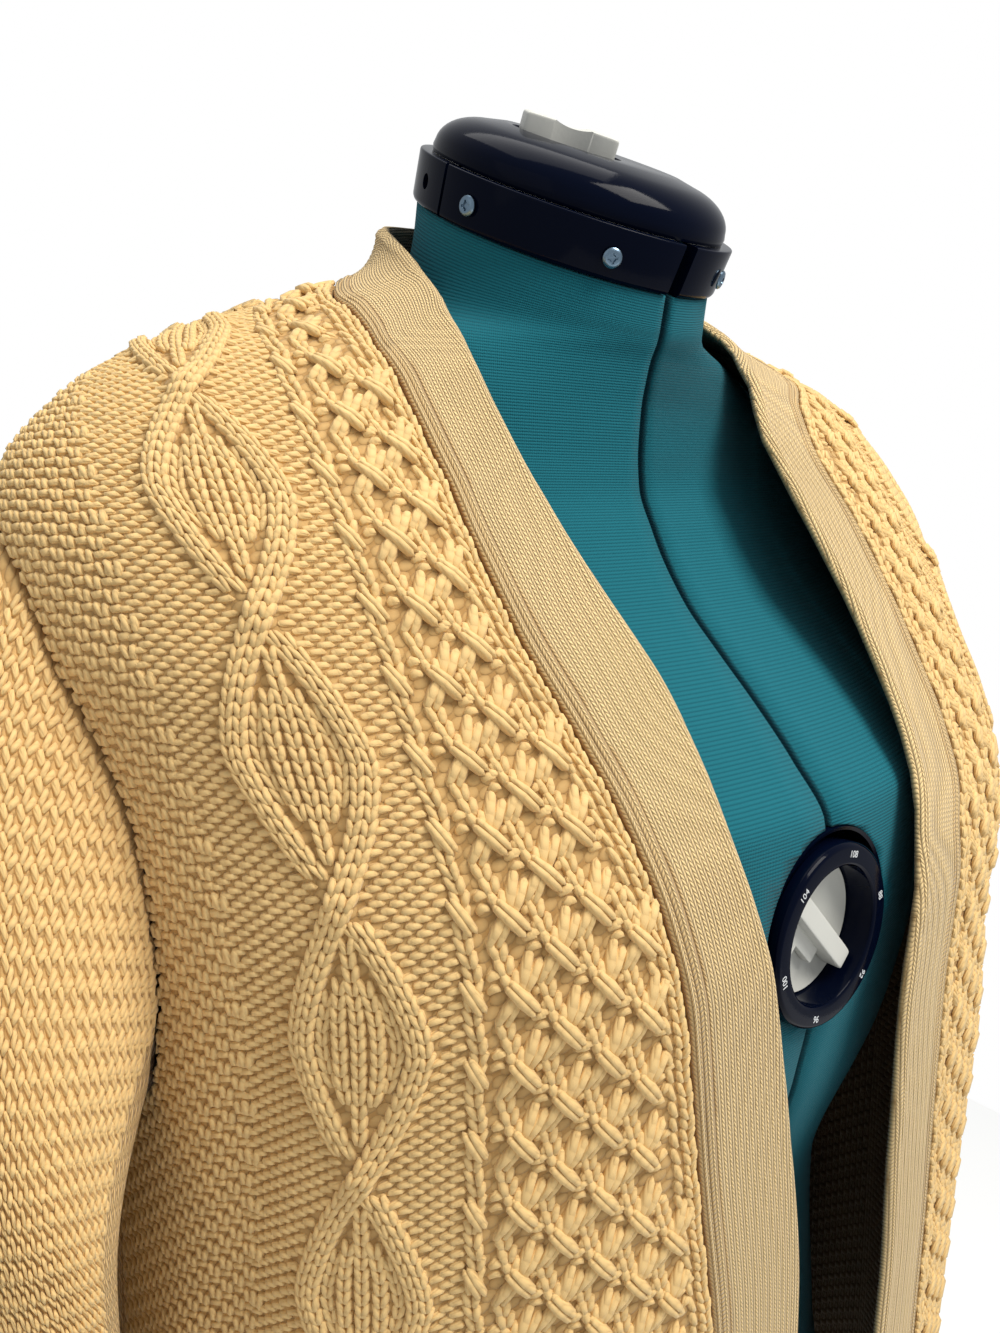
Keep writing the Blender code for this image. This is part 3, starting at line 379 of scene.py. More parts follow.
def drape_chart(name: str, side: int, from_back: bool, foot: float) -> Chart:
    """Chart of a front or of the back, whose places along are the cloth's length up each column.

    Args:
        name: name of the panel, for its creases.
        side: 1 for the wearer's right and -1 for the left.
        from_back: the piece is the back, which takes both sides.
        foot: height of its lower edge.

    Returns:
        The chart, from the piece's lower edge to its shoulder.
    """
    heights = np.arange(foot, 1470.0, 2.5)
    start, end = (pi + 2.3, pi - 2.3) if from_back else (0.0, side * (pi / 2 + 1.2))
    angle = np.linspace(start, end, 901)
    rings = DRAPE.point(angle[None, :], heights[:, None])
    walked = walk(rings)
    if from_back:
        walked -= walked[:, 450:451]
    across = np.arange(-330.0, 331.0, 2.0) if from_back else np.arange(0.0, 331.0, 2.0)
    turn = np.stack([np.interp(across, row, angle) for row in walked], 1)
    columns = DRAPE.point(turn, np.broadcast_to(heights, turn.shape))
    climbed = walk(columns)
    climbed -= np.stack([np.interp([CUT.crossing], heights, row) for row in climbed])
    along = np.arange(climbed[:, 0].min(), 330.0, 2.0)
    z = np.stack([np.interp(along, row, heights) for row in climbed])
    turn = np.stack([np.interp(line, heights, row) for line, row in zip(z, turn)])
    ridge = np.interp(z, heights, [DRAPE.ring(h, side * pi if from_back else 0.0, side * pi / 2)[1][-1]
                                   for h in heights])
    far = ridge - CUT.cut_at(z) - CUT.seam / 2
    if from_back:
        other = np.interp(z, heights, [DRAPE.ring(h, pi, 3 * pi / 2)[1][-1] for h in heights])
        near = -(other - CUT.cut_at(z) - CUT.seam / 2)
        top = CUT.neck_point - CUT.seam / 2
    else:
        seam_z, seam_angle = CUT.seam_curve(side)
        seam = []
        for h in heights:
            ring, lengths = DRAPE.ring(h, 0.0, side * pi / 2)
            seam.append(float(np.interp(smooth(h, seam_z, seam_angle), np.abs(ring), lengths)))
        near = np.interp(z, heights, seam) + CUT.seam / 2
        top = CUT.neck_point
    places = across[:, None]
    low = crossed(across, np.minimum(places - near, np.minimum(far - places, top - z)), True)
    high = crossed(across, np.minimum(places - near, np.minimum(far - places, top - z)), False)
    kept = np.nonzero(((places > near) & (places < far) & (z < top)).any(0))[0][-1] + 1
    along, z, turn, low, high = along[:kept], z[:, :kept], turn[:, :kept], low[:kept], high[:kept]
    points, normals = DRAPE.point(turn, z), DRAPE.normal(turn, z)
    press = pressed(name, places, along[None, :])
    return Chart(across, along, points + press[..., None] * normals, normals, low, high)


# ---- Meshes ----

def merged(points: Array, faces: list, name: str, uv: Array | None = None, marks: dict | None = None,
           weld: float = 0.00002) -> Piece:
    """Makes a smooth object from points in millimetres and faces, with a UV map and float attributes.

    Args:
        points: the points, n by 3.
        faces: arrays of polygons, one for each number of corners.
        name: name of the object.
        uv: a place in the UV map for each point.
        marks: attribute values for each point, by name.
        weld: distance under which points are merged, in metres, or 0.

    Returns:
        The object, linked to the scene.
    """
    sizes = np.concatenate([np.full(len(part), part.shape[1]) for part in faces])
    corners = np.concatenate([part.ravel() for part in faces])
    mesh = bpy.data.meshes.new(name)
    mesh.vertices.add(len(points))
    mesh.vertices.foreach_set("co", (np.asarray(points, float) * MM).astype(np.float32).ravel())
    mesh.loops.add(len(corners))
    mesh.loops.foreach_set("vertex_index", corners.astype(np.int32))
    mesh.polygons.add(len(sizes))
    mesh.polygons.foreach_set("loop_start", np.concatenate([[0], np.cumsum(sizes)[:-1]]).astype(np.int32))
    mesh.update(calc_edges=True)
    if uv is not None:
        layer = mesh.uv_layers.new(name="stitches")
        layer.data.foreach_set("uv", np.asarray(uv, np.float32)[corners].ravel())
    for key, values in (marks or {}).items():
        mesh.attributes.new(key, "FLOAT", "POINT").data.foreach_set("value", np.asarray(values, np.float32))
    mesh.polygons.foreach_set("use_smooth", np.ones(len(sizes), bool))
    mesh.validate()
    if weld:
        shape = bmesh.new()
        shape.from_mesh(mesh)
        bmesh.ops.remove_doubles(shape, verts=shape.verts, dist=weld)
        loose = [vertex for vertex in shape.verts if not vertex.link_faces]
        bmesh.ops.delete(shape, geom=loose, context="VERTS")
        shape.to_mesh(mesh)
        shape.free()
    return placed(name, mesh)


def placed(name: str, data: bpy.types.ID) -> Piece:
    """An object of some data, linked to the scene."""
    made = bpy.data.objects.new(name, data)
    bpy.context.scene.collection.objects.link(made)
    return made


def grid(rows: int, columns: int, start: int = 0, closed: bool = False, flip: bool = False) -> Array:
    """Quads of a grid whose point number is start + row * columns + column."""
    width = columns if closed else columns - 1
    j, i = np.meshgrid(np.arange(rows - 1), np.arange(width), indexing="ij")
    right = (i + 1) % columns
    low, high = j * columns, (j + 1) * columns
    quads = np.stack([low + i, low + right, high + right, high + i], -1)
    quads = quads.reshape(-1, 4) + start
    return quads[:, ::-1] if flip else quads


def rim(outer: Array, inner: Array, step: int, flip: bool) -> Array:
    """Polygons between a fine edge and a coarse one: each takes step + 1 fine points and 2 coarse ones."""
    parts = len(inner) - 1
    fine = outer[np.arange(parts)[:, None] * step + np.arange(step + 1)[None, :]]
    made = np.concatenate([fine, inner[1:, None], inner[:-1, None]], 1)
    return made[:, ::-1] if flip else made


def shell(name: str, outer: Array, inner: Array, uv: Array, marks: dict, step: int, closed: bool,
          turned_in: bool) -> Piece:
    """A thin closed shell between a fine outer grid and every step-th point of an inner grid.

    Args:
        name: name of the object.
        outer: outer points, rows by columns.
        inner: inner points on the same grid.
        uv: UV place of each outer point.
        marks: attributes of each outer point.
        step: how many outer points an inner one stands for.
        closed: the grid is a tube, whose last column meets its first.
        turned_in: the grid's own quads face inwards, so all faces are turned.

    Returns:
        The object.
    """
    rows, columns = outer.shape[:2]
    coarse = (slice(None, None, step), slice(None, None, step))
    few = inner[coarse]
    low_rows, low_columns = few.shape[:2]
    count = rows * columns
    number = np.arange(count).reshape(rows, columns)
    under = count + np.arange(low_rows * low_columns).reshape(low_rows, low_columns)
    if closed:
        number_edge = np.concatenate([number, number[:, :1]], 1)
        under_edge = np.concatenate([under, under[:, :1]], 1)
    else:
        number_edge, under_edge = number, under
    faces = [grid(rows, columns, 0, closed, turned_in),
             grid(low_rows, low_columns, count, closed, not turned_in)]
    rims = [rim(number_edge[0], under_edge[0], step, not turned_in),
            rim(number_edge[-1], under_edge[-1], step, turned_in)]
    if not closed:
        rims += [rim(number[:, 0], under[:, 0], step, turned_in),
                 rim(number[:, -1], under[:, -1], step, not turned_in)]
    faces.append(np.concatenate(rims))
    points = np.concatenate([outer.reshape(-1, 3), few.reshape(-1, 3)])
    places = np.concatenate([uv.reshape(-1, 2), uv[coarse].reshape(-1, 2)])
    values = {key: np.concatenate([value.ravel(), value[coarse].ravel()]) for key, value in marks.items()}
    # The inner points are marked, and the finishes colour them in near-black painted shade.
    values["inside"] = np.concatenate([np.zeros(count), np.ones(few.shape[0] * few.shape[1])])
    return merged(points, faces, name, places, values)


@dataclass
class Strands:
    """Plump lengths of yarn lying on a chart, each a spindle with pointed ends sunk into the cloth.

    A spindle runs along a line between two places. At share s of its length its half width and height are those
    given times the square root of 1 - 0.82 (2 s - 1) squared, and round it the angle goes through cosine, across,
    and sine, up, flatter below.
    """

    rings: int = 3
    around: int = 6
    parts: list = field(default_factory=list)

    def add(self, c0: Array, v0: Array, c1: Array, v1: Array, half: float, high: float,
            lift: Array | float = 0.0, bow: float = 0.0) -> None:
        """Adds spindles from (c0, v0) to (c1, v1), lifted off the relief and bowed along it."""
        made = np.broadcast_arrays(c0, v0, c1, v1, half, high, lift, bow)
        self.parts.append(np.stack([np.ravel(part).astype(float) for part in made], 1))

    def legs(self, path: Callable[[Array], Array], rows: Array, half: float, pitch: float, thick: float,
             high: float, lift: Callable[[Array], Array] | None = None) -> None:
        """Adds a wale of knit stitches: two slanting legs for each row, that meet in a point at its foot.

        Args:
            path: place across of the wale's middle at places along.
            rows: places along of the stitches.
            half: half width of the wale.
            pitch: from row to row.
            thick: half width of one leg.
            high: how far a leg stands up.
            lift: extra rise at places along.
        """
        for sign in (-1.0, 1.0):
            top, foot = rows + 1.02 * pitch, rows - 0.46 * pitch
            self.add(path(top) + sign * 0.84 * half, top, path(foot) + sign * 0.16 * half, foot, thick, high,
                     lift(rows) if lift else 0.0)

    def build(self, name: str, chart: Chart, relief: Callable[[Array, Array], Array], foot: float,
              top: float = 1000.0, margin: float = 0.5) -> Piece:
        """Joins all spindles into one mesh.

        Args:
            name: name of the object.
            chart: the cloth they lie on.
            relief: the cloth's own rise at places across and along.
            foot: spindles below this place along are left out.
            top: and those above this one.
            margin: spindles nearer an edge than this are left out.

        Returns:
            The object, with UVs along and around each spindle and an attribute tone.
        """
        rows = np.concatenate(self.parts)
        middle_c, middle_v = (rows[:, 0] + rows[:, 2]) / 2, (rows[:, 1] + rows[:, 3]) / 2
        low, high = chart.edges(middle_v)
        if chart.closed:
            keep = np.abs(middle_c) < high
        else:
            keep = (middle_c > low + margin) & (middle_c < high - margin)
        keep &= (middle_v > foot) & (middle_v <= min(top, chart.along[-1] - 0.6))
        rows = rows[keep]
        rng = np.random.default_rng(SEED)
        count = len(rows)
        rows[:, :4] += rng.normal(0, JITTER, (count, 4))
        c0, v0, c1, v1, half, tall, lift, bow = (column[:, None, None] for column in rows.T)
        share = (np.arange(self.rings) + 0.5) / self.rings
        share = 0.5 + (share - 0.5) * 1.12
        angle = np.arange(self.around) * 2 * pi / self.around
        s, a = share[None, :, None], angle[None, None, :]
        length = np.hypot(c1 - c0, v1 - v0)
        taper = np.sqrt(1 - 0.82 * (2 * s - 1) ** 2)
        sideways = half * taper * np.cos(a)
        c = c0 + (c1 - c0) * s - (v1 - v0) / length * sideways
        v = v0 + (v1 - v0) * s + (c1 - c0) / length * sideways + bow * np.sin(pi * s)
        up = tall * taper * np.where(np.sin(a) > 0, np.sin(a), 0.45 * np.sin(a))
        bulk = chart.read(c, v, relief(c, v) + up + lift - 0.1)
        tips = []
        for end in (0.0, 1.0):
            tc, tv = (c0 + (c1 - c0) * end)[:, 0, 0], (v0 + (v1 - v0) * end)[:, 0, 0]
            tips.append(chart.read(tc, tv, relief(tc, tv) + lift[:, 0, 0] - 0.15))
        per = self.rings * self.around
        points = np.concatenate([bulk.reshape(count, per, 3), tips[0][:, None], tips[1][:, None]], 1)
        base = np.arange(count)[:, None] * (per + 2)
        one = grid(self.rings, self.around, 0, True)
        ring = np.arange(self.around)
        ahead = (ring + 1) % self.around
        start = np.stack([np.full(self.around, per), ahead, ring], 1)
        last = (self.rings - 1) * self.around
        end = np.stack([np.full(self.around, per + 1), last + ring, last + ahead], 1)
        quads = (one[None] + base[..., None]).reshape(-1, 4)
        fans = (np.concatenate([start, end])[None] + base[..., None]).reshape(-1, 3)
        uv = np.zeros((count, per + 2, 2))
        uv[:, :per, 0] = (np.broadcast_to(s, c.shape) * length).reshape(count, per)
        uv[:, :per, 1] = np.broadcast_to(np.sin(a) * 0.9, c.shape).reshape(count, per)
        uv[:, per + 1, 0] = length[:, 0, 0]
        uv[..., 0] += rng.uniform(0, 4, (count, 1))
        tone = np.repeat(rng.uniform(0, 1, count)[:, None], per + 2, 1)
        # The across and along axes turn with the panel's side, so the spindles' own faces are turned to match.
        first = chart.read(np.array([middle_c.mean()]), np.array([0.0]))
        across = chart.read(np.array([middle_c.mean() + 2]), np.array([0.0])) - first
        upward = chart.read(np.array([middle_c.mean()]), np.array([2.0])) - first
        outward = chart.read(np.array([middle_c.mean()]), np.array([0.0]), 1.0) - first
        if float(np.sum(np.cross(across, upward) * outward)) < 0:
            quads, fans = quads[:, ::-1], fans[:, ::-1]
        return merged(points.reshape(-1, 3), [quads, fans], name, uv.reshape(-1, 2), {"tone": tone.ravel()}, 0)


# ---- The pattern of the knit ----

@dataclass(frozen=True)
class Pattern:
    """Sizes of the stitches and cables.

    Attributes:
        row: from row to row of stitches.
        leaf: from crossing to crossing of the leaf cable.
        swing: widest place of a cord's middle.
        cord: half width of a cord.
        rib: from column to column inside the leaf.
        pitch: from crossing to crossing of the lattice, across.
        repeat: half the lattice's upright repeat.
        ground: from purl bump to purl bump, across.
        moss: from stitch to stitch in moss, across.
    """

    row: float = 3.925
    leaf: float = 78.5
    swing: float = 16.6
    cord: float = 5.0
    rib: float = 5.2
    pitch: float = 12.0
    repeat: float = 10.75
    ground: float = 5.6
    moss: float = 4.4

    def sway(self, v: Array) -> Array:
        """Signed place of one cord: swing times 0.62 sin(pi v / leaf) plus 0.38 of a pointed line as long."""
        turn = np.asarray(v) / self.leaf
        pointed = 1 - np.abs(2 * (turn - np.floor(turn)) - 1)
        sign = np.where(np.floor(turn) % 2 == 0, 1.0, -1.0)
        return self.swing * (0.62 * np.sin(pi * turn) + 0.38 * sign * pointed)

    def near_crossing(self, v: Array, reach: float = 7.0) -> Array:
        """1 at each crossing, and falling away as a bell."""
        off = v - self.leaf * np.round(v / self.leaf)
        return np.exp(-(off / reach) ** 2)

    def leaf_relief(self, x: Array, v: Array) -> Array:
        """Rise of the leaf cable: a dome on each cord and lower ones on the ribs between."""
        sway = np.abs(self.sway(v))
        cords = 1.7 * dome((np.abs(x) - sway) / self.cord) + 0.8 * self.near_crossing(v) * dome(x / self.cord)
        ribs = sum(0.5 * dome((x - k * self.rib * np.clip((sway - 4) / 11, 0.3, 1)) / 2.7) for k in (-1, 0, 1))
        return np.maximum(cords, np.where(np.abs(x) < sway - 3.5, ribs, 0.0))

    def lattice_relief(self, c: Array, v: Array, edge: float, pitch: float) -> Array:
        """Rise of the lattice: domes along both families of diagonals."""
        u, w = (edge - c) / pitch, v / self.repeat
        rise = 0.0
        for family in ((u + w) / 2, (u - w) / 2):
            rise = np.maximum(rise, dome((family - np.round(family)) / 0.19))
        return 0.9 * rise

    def leaf_strands(self, strands: Strands, middle: float, rows: Array,
                     wales: Sequence[float] = (-1.8, 1.8)) -> None:
        """Lays the leaf cable's stitches round a middle place."""
        slope = lambda v: (self.sway(v + 0.5) - self.sway(v - 0.5))
        for sign in (1.0, -1.0):
            # A cord whose place falls towards the centre front on the way up passes in front at that crossing.
            front = lambda v, k=sign: (np.round(v / self.leaf) % 2 == 0) == (k < 0)
            shown = rows[front(rows) | (np.abs(rows - self.leaf * np.round(rows / self.leaf)) > 4.6)]
            lift = lambda v, f=front: np.where(f(v), 1.2, -0.7) * self.near_crossing(v, 8.0)
            for offset in wales:
                path = lambda v, k=sign, o=offset: (
                    middle + k * self.sway(v) + o * np.minimum(np.hypot(1, slope(v)), 1.25))
                strands.legs(path, shown, 1.85, self.row, 1.25, 1.8, lift)
        sway = np.abs(self.sway(rows))
        for k, least in ((0, 6.0), (-1, 10.6), (1, 10.6)):
            shown = rows[sway > least]
            path = lambda v, k=k: middle + k * self.rib * np.clip(
                (np.abs(self.sway(v)) - 4) / 11, 0.3, 1)
            strands.legs(path, shown, 2.2, self.row, 1.35, 1.9)
        for sign in (-1.0, 1.0):
            beside = lambda v, k=sign: middle + k * (np.abs(self.sway(v)) - 5.9)
            strands.legs(beside, rows[sway > 13.4], 1.75, self.row, 1.15, 1.4)

    def purl(self, strands: Strands, c: Array, v: Array, long: float = 2.5, half: float = 1.66) -> None:
        """Lays purl bumps at places: short dashes that rise towards the centre front."""
        strands.add(c + long, v - 0.7, c - long, v + 0.7, half, 1.6, -0.1, 0.7)

    def ground_strands(self, strands: Strands, start: float, end: float, rows: Array,
                       kept: Callable[[Array, Array], Array]) -> None:
        """Fills a field with purl bumps, two lines to a row, every other line moved on by half a stitch."""
        lines = np.arange(rows[0], rows[-1], self.row / 2)
        c, v = np.meshgrid(np.arange(start, end, self.ground), lines)
        c = c + 0.5 * self.ground * (np.arange(len(lines)) % 2)[:, None]
        chosen = kept(c, v) & (c < end)
        self.purl(strands, c[chosen], v[chosen], 2.9, 1.4)

    def moss_strands(self, strands: Strands, start: float, end: float, rows: Array) -> None:
        """Fills a field with moss: knit and purl stitches by turns, across and along."""
        c, v = np.meshgrid(np.arange(start, end, self.moss), rows)
        turn = (np.arange(c.shape[1])[None, :] + np.arange(c.shape[0])[:, None]) % 2 == 0
        knit_c, knit_v = c[turn], v[turn]
        for sign in (-1.0, 1.0):
            strands.add(knit_c + sign * 1.8, knit_v + 2.5, knit_c + sign * 0.5, knit_v - 2.7, 1.5, 1.85)
        self.purl(strands, c[~turn], v[~turn], 2.6)

    def lattice_strands(self, strands: Strands, edge: float, count: int, first: int, last: int,
                        low: Callable[[Array], Array], plain: bool = False) -> None:
        """Lays the lattice: at each crossing two bold strands in front of two long ones, knit stitches between.

        Args:
            strands: where they are laid.
            edge: outer border, a column with crossings.
            count: columns inwards from it.
            first: lowest crossing.
            last: highest crossing.
            low: the cloth's near edge at places along.
            plain: the long strands alone, for the hidden back.
        """
        k, m = np.meshgrid(np.arange(1, count + 1), np.arange(first, last + 1))
        k, m = k[(k + m) % 2 == 0], m[(k + m) % 2 == 0]
        c, v = edge - k * self.pitch, m * self.repeat
        chosen = c > low(v) + 9.5
        c, v = c[chosen], v[chosen]
        for across, up, half in ((3.6, 3.2, 1.7), (2.2, 4.7, 1.65)):
            strands.add(c + across, v + up, c + across - 7.7, v + up - 9.4, half, 2.3, 1.1)
        for from_c, from_v, to_c, to_v, half in ((7.0, -8.6, -0.4, 1.4, 1.7), (4.6, -9.4, -1.6, 0.8, 1.6),
                                                 (0.6, -1.4, -5.2, 12.6, 1.95), (-0.8, -1.0, -7.6, 9.8, 1.75)):
            strands.add(c + from_c, v + from_v, c + to_c, v + to_v, half, 2.1, 0.15)
        if plain:
            return
        for step in (2.6, 6.4, 10.2):
            wale = c + 1.4 + 0.3 * (step - 3)
            strands.add(wale + 2.5, v + step + 4.5, wale + 0.6, v + step - 1.5, 1.7, 2.0)
            strands.add(wale - 1.6, v + step + 4.3, wale - 0.4, v + step - 1.5, 1.6, 1.9)
        for across, up in ((-5.0, -6.6), (-7.6, -3.4), (-5.6, 0.4), (-8.4, 3.0), (6.2, 1.2), (6.0, 5.0)):
            inside = (c + across > low(v) + 8) & (c + across < edge - 2.5)
            self.purl(strands, c[inside] + across, v[inside] + up, 2.1)

    def border_strands(self, strands: Strands, place: Callable[[Array], Array], rows: Array,
                       twist: Array) -> None:
        """Lays a column of knit stitches with a strand twisted over it at each repeat."""
        strands.legs(lambda v: place(v) + 0.9 * np.sin(pi * v / self.repeat), rows, 2.5, self.row, 1.45, 1.8)
        for off in (-1.0, 1.0):
            strands.add(place(twist) + 2.6 + off * 0.7, twist + 5.0 - off * 0.5, place(twist) - 2.6 + off * 0.7,
                        twist - 5.0 - off * 0.5, 1.5, 1.8, 1.0)


PATTERN = Pattern()


# ---- Finishes ----

class Nodes:
    """Builds a material's nodes."""

    def __init__(self, name: str) -> None:
        """Starts a material with its shader."""
        self.material = bpy.data.materials.new(name)
        self.material.use_nodes = True
        self.tree = self.material.node_tree
        self.shader = self.tree.nodes["Principled BSDF"]

    def link(self, source: object, target: Socket) -> None:
        """Links a socket, or sets a plain value."""
        if isinstance(source, Socket):
            self.tree.links.new(source, target)
        else:
            target.default_value = source

    def math(self, operation: str, *values: object, clamp: bool = False) -> Socket:
        """A Math node's result."""
        node = self.tree.nodes.new("ShaderNodeMath")
        node.operation, node.use_clamp = operation, clamp
        for number, value in enumerate(values):
            self.link(value, node.inputs[number])
        return node.outputs[0]

    def mix(self, share: object, first: object, second: object) -> Socket:
        """A mix of two colours."""
        node = self.tree.nodes.new("ShaderNodeMix")
        node.data_type = "RGBA"
        self.link(share, node.inputs[0])
        for value, target in ((first, node.inputs[6]), (second, node.inputs[7])):
            self.link((*value, 1.0) if isinstance(value, tuple) else value, target)
        return node.outputs[2]

    def blend(self, share: object, first: object, second: object) -> Socket:
        """A mix of two numbers: first + share (second - first)."""
        node = self.tree.nodes.new("ShaderNodeMix")
        node.data_type = "FLOAT"
        for number, value in ((0, share), (2, first), (3, second)):
            self.link(value, node.inputs[number])
        return node.outputs[0]

    def put(self, values: dict) -> None:
        """Sets plain values of the shader, by input."""
        for name, value in values.items():
            self.shader.inputs[name].default_value = value

    def noise(self, scale: float, detail: float = 3.0, rough: float = 0.5) -> Socket:
        """A noise texture's value, in object coordinates."""
        node = self.tree.nodes.new("ShaderNodeTexNoise")
        node.inputs["Scale"].default_value = scale
        node.inputs["Detail"].default_value = detail
        node.inputs["Roughness"].default_value = rough
        self.link(self.tree.nodes.new("ShaderNodeTexCoord").outputs["Object"], node.inputs["Vector"])
        return node.outputs["Fac"]

    def attribute(self, name: str) -> Socket:
        """A float attribute."""
        node = self.tree.nodes.new("ShaderNodeAttribute")
        node.attribute_name = name
        return node.outputs["Fac"]

    def uv(self) -> tuple[Socket, Socket]:
        """The two places in the UV map."""
        node = self.tree.nodes.new("ShaderNodeUVMap")
        node.uv_map = "stitches"
        split = self.tree.nodes.new("ShaderNodeSeparateXYZ")
        self.tree.links.new(node.outputs[0], split.inputs[0])
        return split.outputs[0], split.outputs[1]

    def bump(self, height: object, distance: float, strength: float = 1.0,
             normal: object = None) -> Socket:
        """A bump's normal."""
        node = self.tree.nodes.new("ShaderNodeBump")
        node.inputs["Strength"].default_value = strength
        node.inputs["Distance"].default_value = distance
        self.link(height, node.inputs["Height"])
        if normal is not None:
            self.link(normal, node.inputs["Normal"])
        return node.outputs[0]

    def knit(self, u: object, v: object) -> Socket:
        """Height of knit stitches: two round legs to a wale, cut into slanting lengths row by row."""
        from_middle = self.math("SUBTRACT", self.math("FRACT", u), 0.5)
        off = self.math("MULTIPLY", self.math("ABSOLUTE", from_middle), 2.0)
        leg = self.math("SUBTRACT", self.math("MULTIPLY", off, 2.0), 1.0)
        left = self.math("SUBTRACT", 1.0, self.math("MULTIPLY", leg, leg), clamp=True)
        round_leg = self.math("POWER", left, 0.6)
        phase = self.math("FRACT", self.math("SUBTRACT", v, self.math("MULTIPLY", off, 0.85)))
        length = self.math("POWER", self.math("SINE", self.math("MULTIPLY", phase, pi)), 0.55)
        return self.math("MULTIPLY", round_leg, self.math("ADD", self.math("MULTIPLY", length, 0.65), 0.35))

    def purl(self, u: object, v: object, brick: bool = True) -> Socket:
        """Height of purl bumps: slanting ellipses, every other row moved on by half a stitch."""
        count = self.math("FLOOR", self.math("ADD", v, 400.0))
        row = self.math("MULTIPLY", self.math("MODULO", count, 2.0), 0.5)
        x = self.math("SUBTRACT", self.math("FRACT", self.math("ADD", u, row) if brick else u), 0.5)
        y = self.math("ADD", self.math("SUBTRACT", self.math("FRACT", v), 0.5), self.math("MULTIPLY", x, 0.4))
        wide, tall = self.math("DIVIDE", x, 0.56), self.math("DIVIDE", y, 0.46)
        left = self.math("SUBTRACT", 1.0, self.math("ADD", self.math("MULTIPLY", wide, wide),
                                                    self.math("MULTIPLY", tall, tall)), clamp=True)
        return self.math("POWER", left, 0.5)


@dataclass(frozen=True)
class YarnFinish:
    """Mustard cotton yarn: matt, slightly fuzzy, with painted shade in its crevices.

    Attributes:
        name: material's name.
        lit: colour on top of the yarn, painted light.
        deep: colour in the crevices, painted shade.
    """

    name: str = "mustard yarn"
    lit: tuple = (0.86, 0.60, 0.265)
    deep: tuple = (0.33, 0.165, 0.045)

    def finish(self, nodes: Nodes, colour: object, height: object, distance: float) -> bpy.types.Material:
        """Sets the yarn's shader from a colour and a height."""
        fuzz = nodes.noise(2600.0, 2.0, 0.7)
        soft = nodes.bump(fuzz, 0.00022, 0.55)
        nodes.link(nodes.bump(height, distance, 1.0, soft), nodes.shader.inputs["Normal"])
        wide = nodes.noise(9.0, 3.0)
        tint = nodes.mix(nodes.math("MULTIPLY", nodes.math("SUBTRACT", wide, 0.35, clamp=True), 0.5), colour,
                         (0.66, 0.42, 0.17))
        # Painted shade: the cloth's inner faces are coloured near black, as if in shadow.
        nodes.link(nodes.mix(nodes.attribute("inside"), tint, (0.10, 0.055, 0.02)),
                   nodes.shader.inputs["Base Color"])
        nodes.link(nodes.blend(fuzz, 0.8, 0.98), nodes.shader.inputs["Roughness"])
        nodes.put({"Sheen Weight": 0.25, "Sheen Roughness": 0.45, "Sheen Tint": (1.0, 0.9, 0.7, 1.0),
                   "Specular IOR Level": 0.2})
        return nodes.material

    def strand(self) -> bpy.types.Material:
        """Yarn of the spindles: slanting plies along each with painted shade between them, and a tone of its own.
        """
        nodes = Nodes(self.name + " strands")
        u, v = nodes.uv()
        ply = nodes.math("ABSOLUTE", nodes.math("SINE", nodes.math("ADD", nodes.math("MULTIPLY", u, 0.8),
                                                                   nodes.math("MULTIPLY", v, 4.6))))
        tone = nodes.attribute("tone")
        light = nodes.mix(tone, self.lit, tuple(0.9 * value for value in self.lit))
        # Painted shade: the grooves between the plies take a colour towards deep.
        colour = nodes.mix(nodes.math("POWER", ply, 0.5), self.shade(0.72), light)
        return self.finish(nodes, colour, ply, 0.00016)

    def shade(self, share: float) -> tuple:
        """A colour between deep and lit."""
        return tuple(d + (l - d) * share for d, l in zip(self.deep, self.lit))

    def ground(self, distance: float = 0.0011) -> bpy.types.Material:
        """Yarn of a panel's own surface: its stitches by kind, with painted shade in their crevices and where
        spindles cover it.
        """
        nodes = Nodes(self.name + " ground")
        u, v = nodes.uv()
        knit, purl = nodes.knit(u, v), nodes.purl(u, v)
        parity = nodes.math("MODULO", nodes.math("ADD", nodes.math("FLOOR", nodes.math("ADD", u, 400.0)),
                                                 nodes.math("FLOOR", nodes.math("ADD", v, 400.0))), 2.0)
        moss = nodes.blend(parity, knit, nodes.purl(u, v, False))
        height = nodes.blend(nodes.attribute("purl"), nodes.blend(nodes.attribute("moss"), knit, moss), purl)
        # Under the spindles the ground's stitches are flattened and its colour kept in painted shade.
        bare = nodes.math("SUBTRACT", 1.0, nodes.attribute("covered"), clamp=True)
        height = nodes.math("MULTIPLY", height, bare)
        share = nodes.math("POWER", height, nodes.blend(nodes.attribute("covered"), 0.7, 1.5))
        # Painted shade and light: the colour goes from deep in the crevices to lit on the stitches' tops.
        colour = nodes.mix(share, nodes.mix(nodes.noise(420.0, 2.0), self.deep, self.shade(0.35)), self.lit)
        return self.finish(nodes, colour, height, distance)


